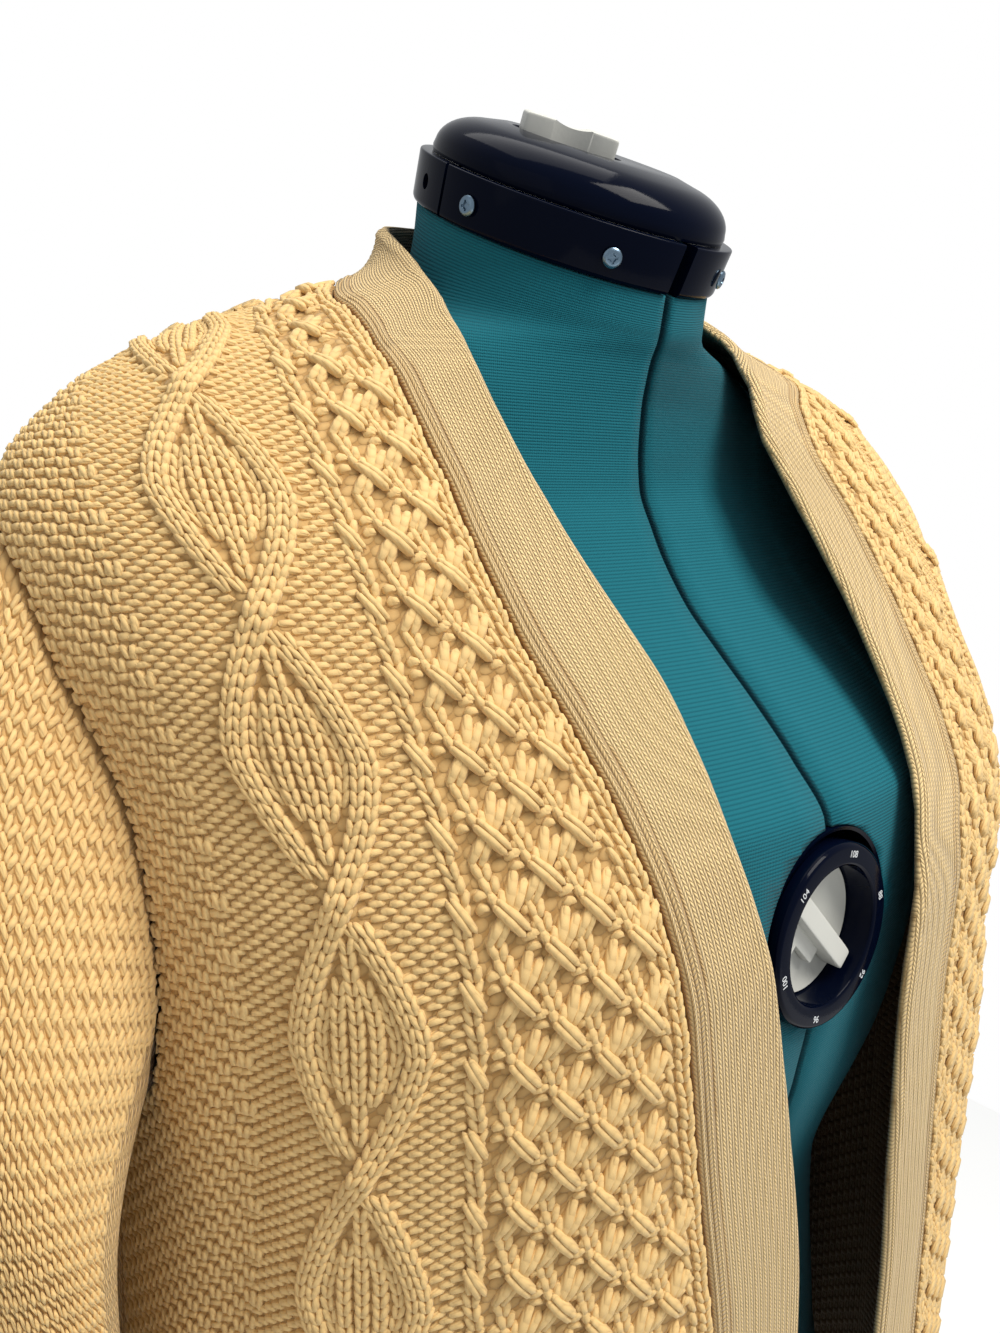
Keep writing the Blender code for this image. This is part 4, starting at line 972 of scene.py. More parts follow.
@dataclass(frozen=True)
class ClothFinish:
    """Fine rib-knit or jersey with small stitches, with painted shade between them.

    Attributes:
        name: material's name.
        lit: colour on top, painted light.
        deep: colour between the stitches, painted shade.
        distance: how deep the stitches are.
        sheen: strength of its sheen.
        rows: 0 for knit stitches, 1 for plain lines.
    """

    name: str
    lit: tuple
    deep: tuple
    distance: float
    sheen: float = 0.25
    rows: float = 0.0

    def build(self) -> bpy.types.Material:
        """Makes the material."""
        nodes = Nodes(self.name)
        u, v = nodes.uv()
        lines = nodes.math("ABSOLUTE", nodes.math("SINE", nodes.math("MULTIPLY", v, pi)))
        height = nodes.blend(self.rows, nodes.knit(u, v), lines)
        # Painted shade: the colour goes to deep between the stitches and in the marked grooves.
        groove_shade = nodes.attribute("groove_shade")
        share = nodes.math("MULTIPLY", nodes.math("POWER", height, 0.6), nodes.math("SUBTRACT", 1.0, groove_shade))
        wide = nodes.noise(14.0, 3.0)
        lit = nodes.mix(nodes.math("MULTIPLY", wide, 0.35), self.lit, tuple(0.82 * value for value in self.lit))
        # Painted shade: inner faces are coloured near black.
        nodes.link(nodes.mix(nodes.attribute("inside"), nodes.mix(share, self.deep, lit),
                             tuple(0.12 * value for value in self.lit)), nodes.shader.inputs["Base Color"])
        fuzz = nodes.noise(2600.0, 2.0, 0.7)
        soft = nodes.bump(fuzz, 0.0002, 0.5)
        nodes.link(nodes.bump(height, self.distance, 1.0, soft), nodes.shader.inputs["Normal"])
        nodes.link(nodes.blend(fuzz, 0.8, 0.97), nodes.shader.inputs["Roughness"])
        nodes.put({"Sheen Weight": self.sheen, "Sheen Roughness": 0.4, "Specular IOR Level": 0.2})
        return nodes.material


@dataclass(frozen=True)
class HardFinish:
    """Moulded plastic, steel or paint: fine unevenness, faint scuffs and small changes of colour."""

    name: str
    colour: tuple
    roughness: float
    metallic: float = 0.0
    grain: float = 900.0
    depth: float = 0.00002
    gloss: float = 0.5

    def build(self) -> bpy.types.Material:
        """Makes the material."""
        nodes = Nodes(self.name)
        cloud = nodes.noise(35.0, 4.0)
        grain = nodes.noise(self.grain, 3.0)
        darker = tuple(0.8 * value for value in self.colour)
        nodes.link(nodes.mix(nodes.math("MULTIPLY", cloud, 0.5), self.colour, darker),
                   nodes.shader.inputs["Base Color"])
        nodes.link(nodes.blend(cloud, self.roughness * 0.8, self.roughness * 1.3),
                   nodes.shader.inputs["Roughness"])
        nodes.link(nodes.bump(grain, self.depth, 0.6), nodes.shader.inputs["Normal"])
        nodes.put({"Metallic": self.metallic, "Specular IOR Level": self.gloss})
        return nodes.material


class Finishes:
    """All materials, made once."""

    def __init__(self) -> None:
        """Makes them."""
        yarn = YarnFinish()
        self.strand = yarn.strand()
        self.ground = yarn.ground()
        self.rib = ClothFinish("mustard rib", (0.99, 0.735, 0.365), (0.38, 0.20, 0.06), 0.0009).build()
        self.jersey = ClothFinish("teal jersey", (0.008, 0.160, 0.205), (0.002, 0.045, 0.065), 0.0003,
                                  0.05, 0.65).build()
        self.navy = HardFinish("navy plastic", (0.0010, 0.0026, 0.0105), 0.10, gloss=0.06).build()
        self.pale = HardFinish("white plastic", (0.66, 0.66, 0.61), 0.42, depth=0.00005).build()
        self.steel = HardFinish("screw steel", (0.20, 0.29, 0.38), 0.30, 1.0).build()
        self.paint = HardFinish("stand paint", (0.02, 0.02, 0.025), 0.42, grain=1500.0, depth=0.00006).build()
        self.ink = HardFinish("dial print", (0.75, 0.78, 0.8), 0.5).build()


# ---- Dressing ----

def dress(made: Piece, material: bpy.types.Material, nodes: Sequence[str] = ()) -> None:
    """Gives a piece its material, hides the solids it stands for, and lets it ride the part."""
    made.data.materials.clear()
    made.data.materials.append(material)
    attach(made, "root")
    if nodes:
        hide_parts(*nodes)
    LOG.info("%s: %d faces", made.name, len(made.data.polygons))


def fitted(start: float, end: float, spacing: float, step: int = 4) -> Array:
    """Even places from start to end, near a spacing, whose count of gaps is a multiple of step."""
    gaps = max(int(round((end - start) / spacing / step)), 1) * step
    return np.linspace(start, end, gaps + 1)


# ---- The garment ----

@dataclass
class Panel:
    """A front or the back.

    Attributes:
        name: name of its node.
        side: 1 for the right, -1 for the left.
        from_back: it is the back.
        spacing: of the outer grid, across and along.
        fine: places along above which spindles make the whole ground.
        flat: width and length of its cut, an estimate that isn't measured on the drape. Not used.
        area: area of its cut in square metres, an estimate too. Not used.
        detail: rings and points round of each cable strand.
        ground_detail: the same for the strands between cables.
        seen: places along below which cable strands are coarse.
    """

    name: str
    side: int
    from_back: bool
    spacing: tuple[float, float]
    fine: float
    flat: tuple[float, float]
    area: float
    detail: tuple[int, int] = (3, 6)
    ground_detail: tuple[int, int] = (3, 6)
    seen: float = -190.0

    def chart(self) -> Chart:
        """The panel's chart."""
        return drape_chart(self.name, self.side, self.from_back, CUT.hem_end + CUT.hem_rib + CUT.seam)

    def relief(self, c: Array, v: Array) -> Array:
        """Rise of cables and lattice."""
        if self.from_back:
            rise = PATTERN.leaf_relief(np.abs(c) - CUT.leaf_back, v)
            lattice = PATTERN.lattice_relief(c, v, CUT.back_lattice, PATTERN.pitch)
            return np.maximum(rise, np.where(np.abs(c) < CUT.back_lattice, 1.8 * lattice, 0.0))
        rise = PATTERN.leaf_relief(c - CUT.leaf_front, v)
        lattice = PATTERN.lattice_relief(c, v, CUT.lattice_edge, PATTERN.pitch)
        return np.maximum(rise, np.where(c < CUT.lattice_edge, lattice, 0.0))

    def marks(self, c: Array, v: Array) -> dict:
        """Kinds of stitch at places: purl beside the cables, moss beyond, and what spindles cover, where the
        ground is flattened and painted in shade.
        """
        if self.from_back:
            off = np.abs(c)
            purl = off < CUT.leaf_back + 34
            moss, covered = off >= CUT.leaf_back + 34, np.zeros(c.shape)
            leaf = np.abs(off - CUT.leaf_back) < np.abs(PATTERN.sway(v)) + PATTERN.cord
        else:
            purl, moss = c < 209, c >= 209
            covered = (v > self.fine).astype(float)
            leaf = np.abs(c - CUT.leaf_front) < np.abs(PATTERN.sway(v)) + PATTERN.cord
            covered = np.maximum(covered, (c < CUT.lattice_edge + 3).astype(float))
        covered = np.maximum(covered, leaf)
        # The covered share paints shade under the spindles and flattens the ground's stitches there.
        return {"purl": purl.astype(float), "moss": moss.astype(float), "covered": 0.55 * covered}

    def sheet(self, chart: Chart) -> Piece:
        """The panel's cloth: the chart raised by its relief over a plain inside, rounded down at its edges."""
        c = fitted(chart.low.min(), chart.high.max(), self.spacing[0])
        v = fitted(chart.along[0], chart.along[-1], self.spacing[1])
        c, v = np.meshgrid(c, v)
        low, high = chart.edges(v)
        kept = np.clip(c, low, high)
        edge = np.minimum(np.minimum(kept - low, high - kept), 3.0)
        rise = self.relief(kept, v) * np.clip(edge / 2.5, 0, 1) - 0.9 * (1 - edge / 3.0) ** 2
        outer, inner = chart.read(kept, v, rise), chart.read(kept, v, -CUT.wall)
        uv = np.stack([kept / PATTERN.moss, v / PATTERN.row], -1)
        turned_in = (self.side < 0) == self.from_back
        return shell(self.name + "_cloth", outer, inner, uv, self.marks(kept, v), 4, False, turned_in)

    def strands(self, chart: Chart) -> list[Piece]:
        """The stitches that stand as spindles: cables everywhere, and the ground too in the upper part."""
        rows = PATTERN.row * np.arange(np.ceil(chart.along[0] / PATTERN.row), chart.along[-1] / PATTERN.row)
        first, last = int(chart.along[0] / PATTERN.repeat), int(chart.along[-1] / PATTERN.repeat)
        cables = Strands(*self.detail)
        if self.from_back:
            for sign in (-1.0, 1.0):
                PATTERN.leaf_strands(cables, sign * CUT.leaf_back, rows)
            PATTERN.lattice_strands(cables, CUT.back_lattice, 8, first, last, lambda v: 0 * v - 60.0, True)
            return [cables.build(self.name + "_cables", chart, self.relief, chart.along[0] + 4)]
        low = lambda v: np.interp(v, chart.along, chart.low)
        PATTERN.leaf_strands(cables, CUT.leaf_front, rows)
        PATTERN.lattice_strands(cables, CUT.lattice_edge, 7, first, last, low)
        PATTERN.border_strands(cables, lambda v: CUT.lattice_edge + 0 * v, rows,
                               2 * PATTERN.repeat * np.arange(first / 2, last / 2))
        cables.legs(lambda v: low(v) + 3.2, rows, 2.4, PATTERN.row, 1.3, 1.6)
        twist = 5.4 * np.arange(chart.along[0] / 5.4, chart.along[-1] / 5.4)
        cables.add(low(twist) + 9.4, twist + 3.6, low(twist) + 6.6, twist - 3.2, 1.5, 1.7)
        ground = Strands(*self.ground_detail)
        leaf = lambda c, v: np.abs(c - CUT.leaf_front) > np.abs(PATTERN.sway(v)) + PATTERN.cord - 0.6
        PATTERN.ground_strands(ground, CUT.lattice_edge + 4.6, 209.5, rows, leaf)
        every = rows[::4]
        for sign in (-1.0, 1.0):
            ground.add(209 + sign * 2.0, every + 3.6, 209 + sign * 0.5, every - 3.0, 1.6, 2.0)
        PATTERN.moss_strands(ground, 211.8, 320.0, rows)
        coarse = Strands(2, 4, cables.parts)
        return [cables.build(self.name + "_cables", chart, self.relief, self.seen),
                coarse.build(self.name + "_lower_cables", chart, self.relief, chart.along[0] + 4, self.seen),
                ground.build(self.name + "_stitches", chart, self.relief, self.fine)]

    def build(self, finishes: Finishes) -> None:
        """Builds and dresses the panel."""
        chart = self.chart()
        cloth = self.sheet(chart)
        dress(cloth, finishes.ground, [self.name])
        pieces = self.strands(chart)
        for piece in pieces:
            dress(piece, finishes.strand)


@dataclass
class Sleeve:
    """A sleeve, from its armhole seam to the cuff, with one leaf cable down its middle.

    Attributes:
        name: name of its node.
        side: 1 for the right, -1 for the left.
        spacing: of the outer grid, round and along.
        fine: places along above which strands make the whole ground.
        rings: height, outer and inner face, front and back of the hanging tube.
        ease: drop over which the top takes the tube's shape.
        under_ease: the same under the arm.
    """

    name: str
    side: int
    spacing: tuple[float, float]
    fine: float
    rings: tuple = (
        (720, 243.0, 209.0, -50.0, 44.0), (838, 250.0, 208.0, -58.0, 50.0), (842, 254.0, 207.0, -68.0, 58.0),
        (950, 262.0, 207.0, -80.0, 66.0), (1060, 268.0, 205.0, -88.0, 72.0), (1150, 269.0, 203.0, -90.0, 74.0),
        (1250, 266.0, 203.0, -88.0, 72.0), (1348, 262.0, 203.0, -84.0, 68.0))
    ease: float = 130.0
    under_ease: float = 14.0

    def tube(self, turn: Array, z: Array) -> Array:
        """Point of the hanging tube: a squared ring between its four faces, read from the table."""
        heights, *faces = columns_of(self.rings)
        outer, inner, front, back = (smooth(z, heights, column) for column in faces)
        bulge = 2 / 2.3
        x = (outer + inner) / 2 + (outer - inner) / 2 * np.sign(np.cos(turn)) * np.abs(np.cos(turn)) ** bulge
        y = (front + back) / 2 - (back - front) / 2 * np.sign(np.sin(turn)) * np.abs(np.sin(turn)) ** bulge
        return np.stack(np.broadcast_arrays(-self.side * x, y, z), -1)

    def armhole(self, turn: Array) -> tuple[Array, Array]:
        """Points of the sleeve's edge in the armhole, and the drape's outward direction there, by turn."""
        middle, half = (CUT.armhole_top + CUT.armhole_low) / 2, (CUT.armhole_top - CUT.armhole_low) / 2
        out_cut, out_z = np.abs(np.sin(turn)) / CUT.armhole_cut, np.cos(turn) / half
        gap = 1.3 * CUT.seam / np.hypot(out_cut, out_z)
        cuts = np.maximum(CUT.armhole_cut * np.abs(np.sin(turn)) - gap * out_cut, 0.0)
        heights = middle + half * np.cos(turn) - gap * out_z
        angles = []
        for height, cut, at in zip(heights, cuts, turn):
            angle, walked = DRAPE.ring(height, self.side * (pi if at > pi else 0.0), self.side * pi / 2)
            angles.append(float(np.interp(walked[-1] - cut, walked, angle)))
        return DRAPE.point(np.array(angles), heights), DRAPE.normal(np.array(angles), heights)

    def chart(self) -> Chart:
        """The sleeve's chart: lines round the armhole run down, easing from its shape to the tube's.

        The ease at share f of its drop is 1 - (1 - f) to the power 2.2, quicker under the arm.
        """
        turn = np.linspace(0, 2 * pi, 241)
        start, edge_normal = self.armhole(turn)
        drop = self.under_ease + (self.ease - self.under_ease) * ((1 + np.cos(turn)) / 2) ** 0.7
        end = CUT.cuff_end + CUT.cuff_rib + CUT.seam
        length = CUT.armhole_top - end
        shares = np.linspace(0, 1, int(length / 2) + 1)[:, None]
        z = start[:, 2] + (end - start[:, 2]) * shares
        eased = (1 - (1 - np.clip((start[:, 2] - z) / drop, 0, 1)) ** 2.2)[..., None]
        points = start + (self.tube(turn[None, :], z) - start) * eased
        points[..., 2] = z
        around = np.gradient(points, axis=1)
        around[:, 0] = around[:, -1] = (points[:, 1] - points[:, -2]) / 2
        normal = unit(np.cross(np.gradient(points, axis=0), around) * self.side)
        normal[0] = edge_normal
        walked = walk(points)
        half = walked[:, -1] / 2
        across = np.arange(-190.0, 191.0, 2.0)
        made, facing = [], []
        for row, rise, lengths in zip(points, normal, walked):
            at = np.mod(across, lengths[-1])
            made.append(np.stack([np.interp(at, lengths, row[:, k]) for k in range(3)], 1))
            facing.append(np.stack([np.interp(at, lengths, rise[:, k]) for k in range(3)], 1))
        made, facing = np.stack(made, 1)[:, ::-1], unit(np.stack(facing, 1)[:, ::-1])
        along = -length + length * np.linspace(0, 1, len(shares))
        press = pressed(self.name, across[:, None], along[None, :])
        return Chart(across, along, made + press[..., None] * facing, facing, -half[::-1], half[::-1], True)

    def relief(self, c: Array, v: Array) -> Array:
        """Rise of the leaf cable."""
        return PATTERN.leaf_relief(c, v)

    def build(self, finishes: Finishes) -> None:
        """Builds and dresses the sleeve."""
        chart = self.chart()
        share = np.linspace(-1, 1, int(round(300 / self.spacing[0] / 4)) * 4 + 1)[:-1]
        v = fitted(chart.along[0], chart.along[-1], self.spacing[1])
        s, v = np.meshgrid(share, v)
        half = np.interp(v, chart.along, chart.high)
        c = s * half
        edge = np.clip((chart.along[-1] - v) / 3.0, 0, 1)
        rise = self.relief(c, v) * edge - 0.9 * (1 - edge) ** 2
        outer, inner = chart.read(c, v, rise), chart.read(c, v, -CUT.wall)
        leaf = np.abs(c) < np.abs(PATTERN.sway(v)) + PATTERN.cord
        far = np.abs(c) >= 34
        shown = (v > self.fine) & (c > -34) & (c < 168) & (self.side > 0)
        # The covered share paints shade under the leaf cable and the spindles and flattens the ground's stitches
        # there.
        marks = {"purl": (~far).astype(float), "moss": far.astype(float), "covered": 0.55 * (leaf | shown)}
        uv = np.stack([c / PATTERN.moss, v / PATTERN.row], -1)
        cloth = shell(self.name + "_cloth", outer, inner, uv, marks, 4, True, self.side < 0)
        dress(cloth, finishes.ground, [self.name])
        rows = PATTERN.row * np.arange(np.ceil(chart.along[0] / PATTERN.row), 0)
        cables = Strands(2, 4)
        PATTERN.leaf_strands(cables, 0.0, rows)
        pieces = [cables.build(self.name + "_cable", chart, self.relief, chart.along[0] + 4)]
        if self.side > 0:
            ground = Strands(2, 5)
            leaf_free = lambda c, v: np.abs(c) > np.abs(PATTERN.sway(v)) + PATTERN.cord + 0.9
            PATTERN.ground_strands(ground, -33.0, 32.0, rows, leaf_free)
            PATTERN.moss_strands(ground, 36.0, 168.0, rows)
            pieces.append(ground.build(self.name + "_stitches", chart, self.relief, self.fine))
        for piece in pieces:
            dress(piece, finishes.strand)


def ribbed(share: Array, ribs: int, high: float) -> tuple[Array, Array]:
    """Rise of round ribs, high times |sin(pi ribs share)| to the power 0.8, and how much painted shade their
    grooves get.
    """
    rise = high * np.abs(np.sin(pi * ribs * share)) ** 0.8
    return rise, (1 - rise / high) ** 3 * 0.6


@dataclass
class Cuff:
    """A ribbed cuff at a sleeve's end."""

    name: str
    sleeve: Sleeve
    ribs: int = 28
    rise: float = 1.7

    def build(self, finishes: Finishes) -> None:
        """Builds the tube: the sleeve's end ring carried down, with round ribs."""
        turn = np.linspace(0, 2 * pi, self.ribs * 6 + 1)[:-1]
        z = fitted(CUT.cuff_end, CUT.cuff_end + CUT.cuff_rib, 4.0)
        points = self.sleeve.tube(turn[None, :], z[:, None] - 2.0)
        points[..., 2] = z[:, None]
        around = np.roll(points, -1, 1) - np.roll(points, 1, 1)
        normal = unit(np.cross((0.0, 0.0, -1.0), around) * self.sleeve.side)
        walked = walk(points)
        share = walked / walked[:, -1:]
        # The ribs' grooves are marked for painted shade.
        rise, groove_shade = ribbed(share, self.ribs, self.rise)
        edge = np.clip(np.minimum(z - z[0], z[-1] - z) / 2.5, 0, 1)[:, None]
        outer, inner = points + (rise * (0.4 + 0.6 * edge))[..., None] * normal, points - CUT.wall * normal
        uv = np.stack([np.broadcast_to(self.ribs * 2 * share, rise.shape),
                       np.broadcast_to(z[:, None] / 3.4, rise.shape)], -1)
        made = shell(self.name + "_rib", outer, inner, uv, {"groove_shade": groove_shade}, 4, True, self.sleeve.side < 0)
        dress(made, finishes.rib, [self.name])


@dataclass
class HemRib:
    """A ribbed hem below a panel, between two angles.

    Attributes:
        panel: the cloth it hangs from. Not used.
        flat: width of its cut in metres, an estimate. Not used.
        pitch: from rib to rib.
        rise: how far a rib stands up.
    """

    name: str
    side: int
    panel: str
    flat: float
    pitch: float = 5.5
    rise: float = 1.7

    def angles(self, z: float) -> tuple[float, float]:
        """Its two ends at a height."""
        if self.side == 0:
            return pi / 2, 3 * pi / 2
        seam = float(smooth(z, *CUT.seam_curve(self.side)))
        return (seam, pi / 2) if self.side > 0 else (-pi / 2, -seam)

    def build(self, finishes: Finishes) -> None:
        """Builds the strip: the drape between its ends, with round upright ribs."""
        z = fitted(CUT.hem_end, CUT.hem_end + CUT.hem_rib, 4.4)
        rows, lengths = [], []
        for height in z:
            angle, walked = DRAPE.ring(height, *self.angles(height))
            share = fitted(0, 1, 1.0 / (int(walked[-1] / self.pitch) * 5))
            at = np.interp(CUT.seam / 2 + share * (walked[-1] - CUT.seam), walked, angle)
            rows.append(at)
            lengths.append(share * walked[-1])
        count = min(len(row) for row in rows)
        rows = np.stack([np.interp(np.linspace(0, 1, count), np.linspace(0, 1, len(row)), row) for row in rows])
        lengths = np.stack([np.linspace(0, row[-1], count) for row in lengths])
        heights = np.broadcast_to(z[:, None], rows.shape)
        points, normal = DRAPE.point(rows, heights), DRAPE.normal(rows, heights)
        ribs = round(lengths[0, -1] / self.pitch)
        share = lengths / lengths[:, -1:]
        # The ribs' grooves are marked for painted shade.
        rise, groove_shade = ribbed(share, ribs, self.rise)
        outer, inner = points + rise[..., None] * normal, points - CUT.wall * normal
        uv = np.stack([ribs * share, heights / 3.4], -1)
        step = 4 if (count - 1) % 4 == 0 else 1
        made = shell(self.name + "_rib", outer, inner, uv, {"groove_shade": groove_shade}, step, False, False)
        dress(made, finishes.rib, [self.name])


@dataclass
class Band:
    """The front and neck band: one strip up the right front, round the neck and down the left front.

    Attributes:
        spacing: of its grid, along and across.
        lines: distance from the seam of its rib lines, and how far each stands up.
        wale: from column to column of its stitches.
        row: from row to row of them.
    """

    spacing: tuple[float, float] = (3.4, 0.85)
    lines: tuple = ((1.9, 0.9), (5.0, 0.9))
    wale: float = 2.3
    row: float = 1.7

    def rows(self, side: int) -> tuple[Array, Array]:
        """Walked length and edge angle, edge height, seam angle and seam height, from hem to centre back."""
        table = [(DRAPE.angle_at(edge, edge_z, side), edge_z, DRAPE.angle_at(seam, seam_z, side), seam_z)
                 for edge_z, edge, seam_z, seam in CUT.table(side)]
        table += [(side * radians(edge), edge_z, side * radians(seam), seam_z)
                  for edge, edge_z, seam, seam_z in CUT.neck]
        table = np.array(table)
        middle = DRAPE.point(table[:, (0, 2)].mean(1), table[:, (1, 3)].mean(1))
        walked = np.concatenate([[0.0], np.cumsum(np.linalg.norm(np.diff(middle, axis=0), axis=1))])
        at = fitted(0, walked[-1], self.spacing[0], 8)
        made = np.stack([smooth(at, walked, table[:, k]) for k in range(4)], 1)
        on_front = at <= walked[-3]
        made[on_front, 2] = side * smooth(made[on_front, 3], *CUT.seam_curve(side))
        return at, made

    def build(self, finishes: Finishes) -> None:
        """Builds the strip, rolled a little at its edge, with chain lines by its seam."""
        right_at, right = self.rows(1)
        left_at, left = self.rows(-1)
        left[:, 0::2] += 2 * pi
        table = np.concatenate([right, left[-2::-1]])
        at = np.concatenate([right_at, right_at[-1] + left_at[-1] - left_at[-2::-1]])
        across = fitted(0, 1, self.spacing[1] / 38.0)
        angle = table[:, 0:1] + (table[:, 2:3] - table[:, 0:1]) * across
        z = table[:, 1:2] + (table[:, 3:4] - table[:, 1:2]) * across
        base, normal = DRAPE.point(angle, z), DRAPE.normal(angle, z)
        width = walk(base)
        wide = width[:, -1:]
        keep = 1 - CUT.seam / wide
        angle = table[:, 0:1] + (table[:, 2:3] - table[:, 0:1]) * across * keep
        z = table[:, 1:2] + (table[:, 3:4] - table[:, 1:2]) * across * keep
        base, normal = DRAPE.point(angle, z), DRAPE.normal(angle, z)
        from_seam = wide - width
        rise = sum(high * dome((from_seam - place) / 1.35) for place, high in self.lines)
        fine = 0.35 * np.abs(np.sin(pi * from_seam / self.wale)) * (from_seam > 6.8)
        edge = np.clip(width / 3.4, 0, 1)
        rolled = -1.8 * (1 - edge) ** 2 + 0.5 * np.exp(-((width - 3.2) / 1.9) ** 2)
        seam = -0.8 * np.clip(1 - from_seam / 1.4, 0, 1)
        outer = base + (0.4 + rise + fine + rolled + seam)[..., None] * normal
        inner = base - CUT.wall * normal
        uv = np.stack([from_seam / self.wale, np.broadcast_to(at[:, None] / self.row, width.shape)], -1)
        # Painted shade between the chain lines by the seam.
        groove_shade = 0.6 * (from_seam < 7.4) * (1 - np.clip(rise, 0, 1))
        made = shell("band_rib", outer, inner, uv, {"groove_shade": groove_shade}, 4, False, True)
        dress(made, finishes.rib, ["band"])


# ---- The dress form ----

@dataclass
class FormTorso:
    """The jersey-covered torso, with the narrow gap between its front halves and a pocket for the dial."""

    rings: tuple = (
        (800, 170.0, -8.0, -130.0, 120.0, 2.30, 0.0), (880, 172.0, -8.0, -132.0, 120.0, 2.30, 0.0),
        (960, 158.0, -10.0, -128.0, 110.0, 2.20, 0.0), (1060, 140.0, -14.0, -126.0, 98.0, 2.20, 0.0),
        (1153, 164.0, -16.0, -148.0, 106.0, 2.35, 0.0), (1211, 169.0, -16.0, -155.0, 108.0, 2.40, 0.0),
        (1250, 173.0, -13.0, -152.0, 105.0, 2.40, 0.0), (1268, 176.0, -10.0, -138.0, 101.0, 2.30, 0.0),
        (1286, 180.0, -7.0, -120.0, 97.0, 2.20, 0.0), (1300, 183.0, -5.0, -104.6, 94.0, 2.10, 0.0),
        (1316, 187.0, -3.0, -88.0, 90.0, 2.00, 0.0), (1340, 191.0, 0.0, -71.5, 82.0, 1.85, 0.0),
        (1360, 191.0, 3.0, -63.5, 74.0, 1.70, 0.04), (1376, 183.0, 6.0, -62.3, 66.0, 1.55, 0.08),
        (1393, 166.9, 8.0, -63.0, 59.0, 1.50, 0.10), (1403, 145.2, 9.0, -64.5, 55.0, 1.50, 0.12),
        (1413, 117.8, 6.0, -66.5, 50.6, 1.53, 0.15), (1425, 66.0, -6.0, -69.5, 45.8, 1.92, 0.25),
        (1437, 60.0, -13.0, -70.5, 44.0, 2.00, 0.40), (1450, 58.6, -15.0, -71.8, 41.8, 2.00, 0.456))
    groove_half: float = 2.1
    groove_deep: float = 7.0
    columns: int = 120
    pocket: float = 35.2

    @staticmethod
    def tucked(x: Array, y: Array, z: Array) -> tuple[Array, Array]:
        """Draws the surface in under the band, so that 3.3 mm is left below the drape there.

        Args:
            x: places across.
            y: places in depth.
            z: heights.

        Returns:
            x and y, pulled towards the middle where the room is less than that wanted.
        """
        heights, *values = columns_of(DRAPE.rings)
        half, side, front, back, power = (smooth(z, heights, column) for column in values)
        reach = np.where(y < side, side - front, back - side)
        r = np.maximum(np.hypot(x, y - side), 1.0)
        room = r * (((np.abs(x) / half) ** power + (np.abs(y - side) / reach) ** power) ** (-1 / power) - 1)
        turn = np.arctan2(np.abs(x) / half, (side - y) / reach)
        edge = smooth(z, (1290, 1380, 1402, 1417, 1432, 1446), np.radians((24, 30, 34, 44.5, 65, 86)))
        edge = edge - np.where(x > 0, radians(9), 0)
        pull = np.maximum(smooth((turn - edge) / radians(14), (-1, 0.15), (-9, 3.3)) - room, 0) * (z > 1290)
        return x - x / r * pull, y - (y - side) / r * pull

    def build(self, finishes: Finishes, dial: Dial) -> None:
        """Builds the loft through superellipse rings, then cuts the pocket."""
        z = np.concatenate([np.arange(800, 1240, 8.0), np.arange(1240, 1450, 3.0), [1450.0]])
        heights, *values = columns_of(self.rings)
        half, side, front, back, power, lean = (smooth(z, heights, column)[:, None] for column in values)
        inset = smooth(z, (800, 1330, 1360, 1435, 1450), (0.8, 1.0, 1.2, 1.0, 0.6))[:, None]
        half, front, back = half - inset, front + inset, back - inset
        near = np.arcsin((self.groove_half / half) ** (power / 2))
        share = np.linspace(0, 1, self.columns)
        turns = near + (2 * pi - 2 * near) * share
        x, y = superellipse(turns, half, side, front, back, power)
        lips = [(0.75, 2.0, True), (0.62, 7.0, True), (-0.62, 7.0, True), (-0.75, 2.0, True)]
        groove_x = np.concatenate([0 * half + self.groove_half * wide for wide, _, _ in lips], 1)
        groove_y = np.concatenate([front + deep for _, deep, _ in lips], 1)
        x, y = np.concatenate([groove_x, x], 1), np.concatenate([groove_y, y], 1)
        level = z[:, None] + lean * (y - side)
        x, y = self.tucked(x, y, level)
        points = np.stack([x, y, level], -1)
        rows, columns = points.shape[:2]
        walked = walk(points)
        uv = np.stack([walked / 1.5, np.broadcast_to(z[:, None] / 1.15, walked.shape)], -1)
        # Painted shade in the gap between the front halves: its columns take the dark colour.
        gap_shade = np.zeros(walked.shape)
        gap_shade[:, :4] = 1.0
        quads = grid(rows, columns, 0, True, False)
        base = np.arange(columns)
        caps = [base[None, ::-1], (rows - 1) * columns + base[None]]
        made = merged(points.reshape(-1, 3), [quads, *caps], "torso_cover", uv.reshape(-1, 2),
                      {"groove_shade": gap_shade.ravel()}, 0)
        outward(made)
        cut_away(made, lathe("dial_pocket", drum(self.pocket, -8.0, 24.0), dial.well(), 96))
        dress(made, finishes.jersey, ["torso"])


def cut_away(made: Piece, cutter: Piece) -> None:
    """Takes a cutter's volume off a piece, and removes the cutter."""
    cut = made.modifiers.new("Cut", "BOOLEAN")
    cut.operation, cut.object, cut.solver = "DIFFERENCE", cutter, "EXACT"
    applied(made)
    bpy.data.objects.remove(cutter, do_unlink=True)


def outward(made: Piece) -> None:
    """Turns a closed piece's faces outwards."""
    shape = bmesh.new()
    shape.from_mesh(made.data)
    bmesh.ops.recalc_face_normals(shape, faces=shape.faces)
    if shape.calc_volume(signed=True) < 0:
        bmesh.ops.reverse_faces(shape, faces=shape.faces)
    shape.to_mesh(made.data)
    shape.free()


def applied(made: Piece) -> None:
    """Applies an object's modifiers to its mesh."""
    bpy.context.view_layer.update()
    evaluated = made.evaluated_get(bpy.context.evaluated_depsgraph_get())
    mesh = bpy.data.meshes.new_from_object(evaluated)
    made.modifiers.clear()
    made.data = mesh


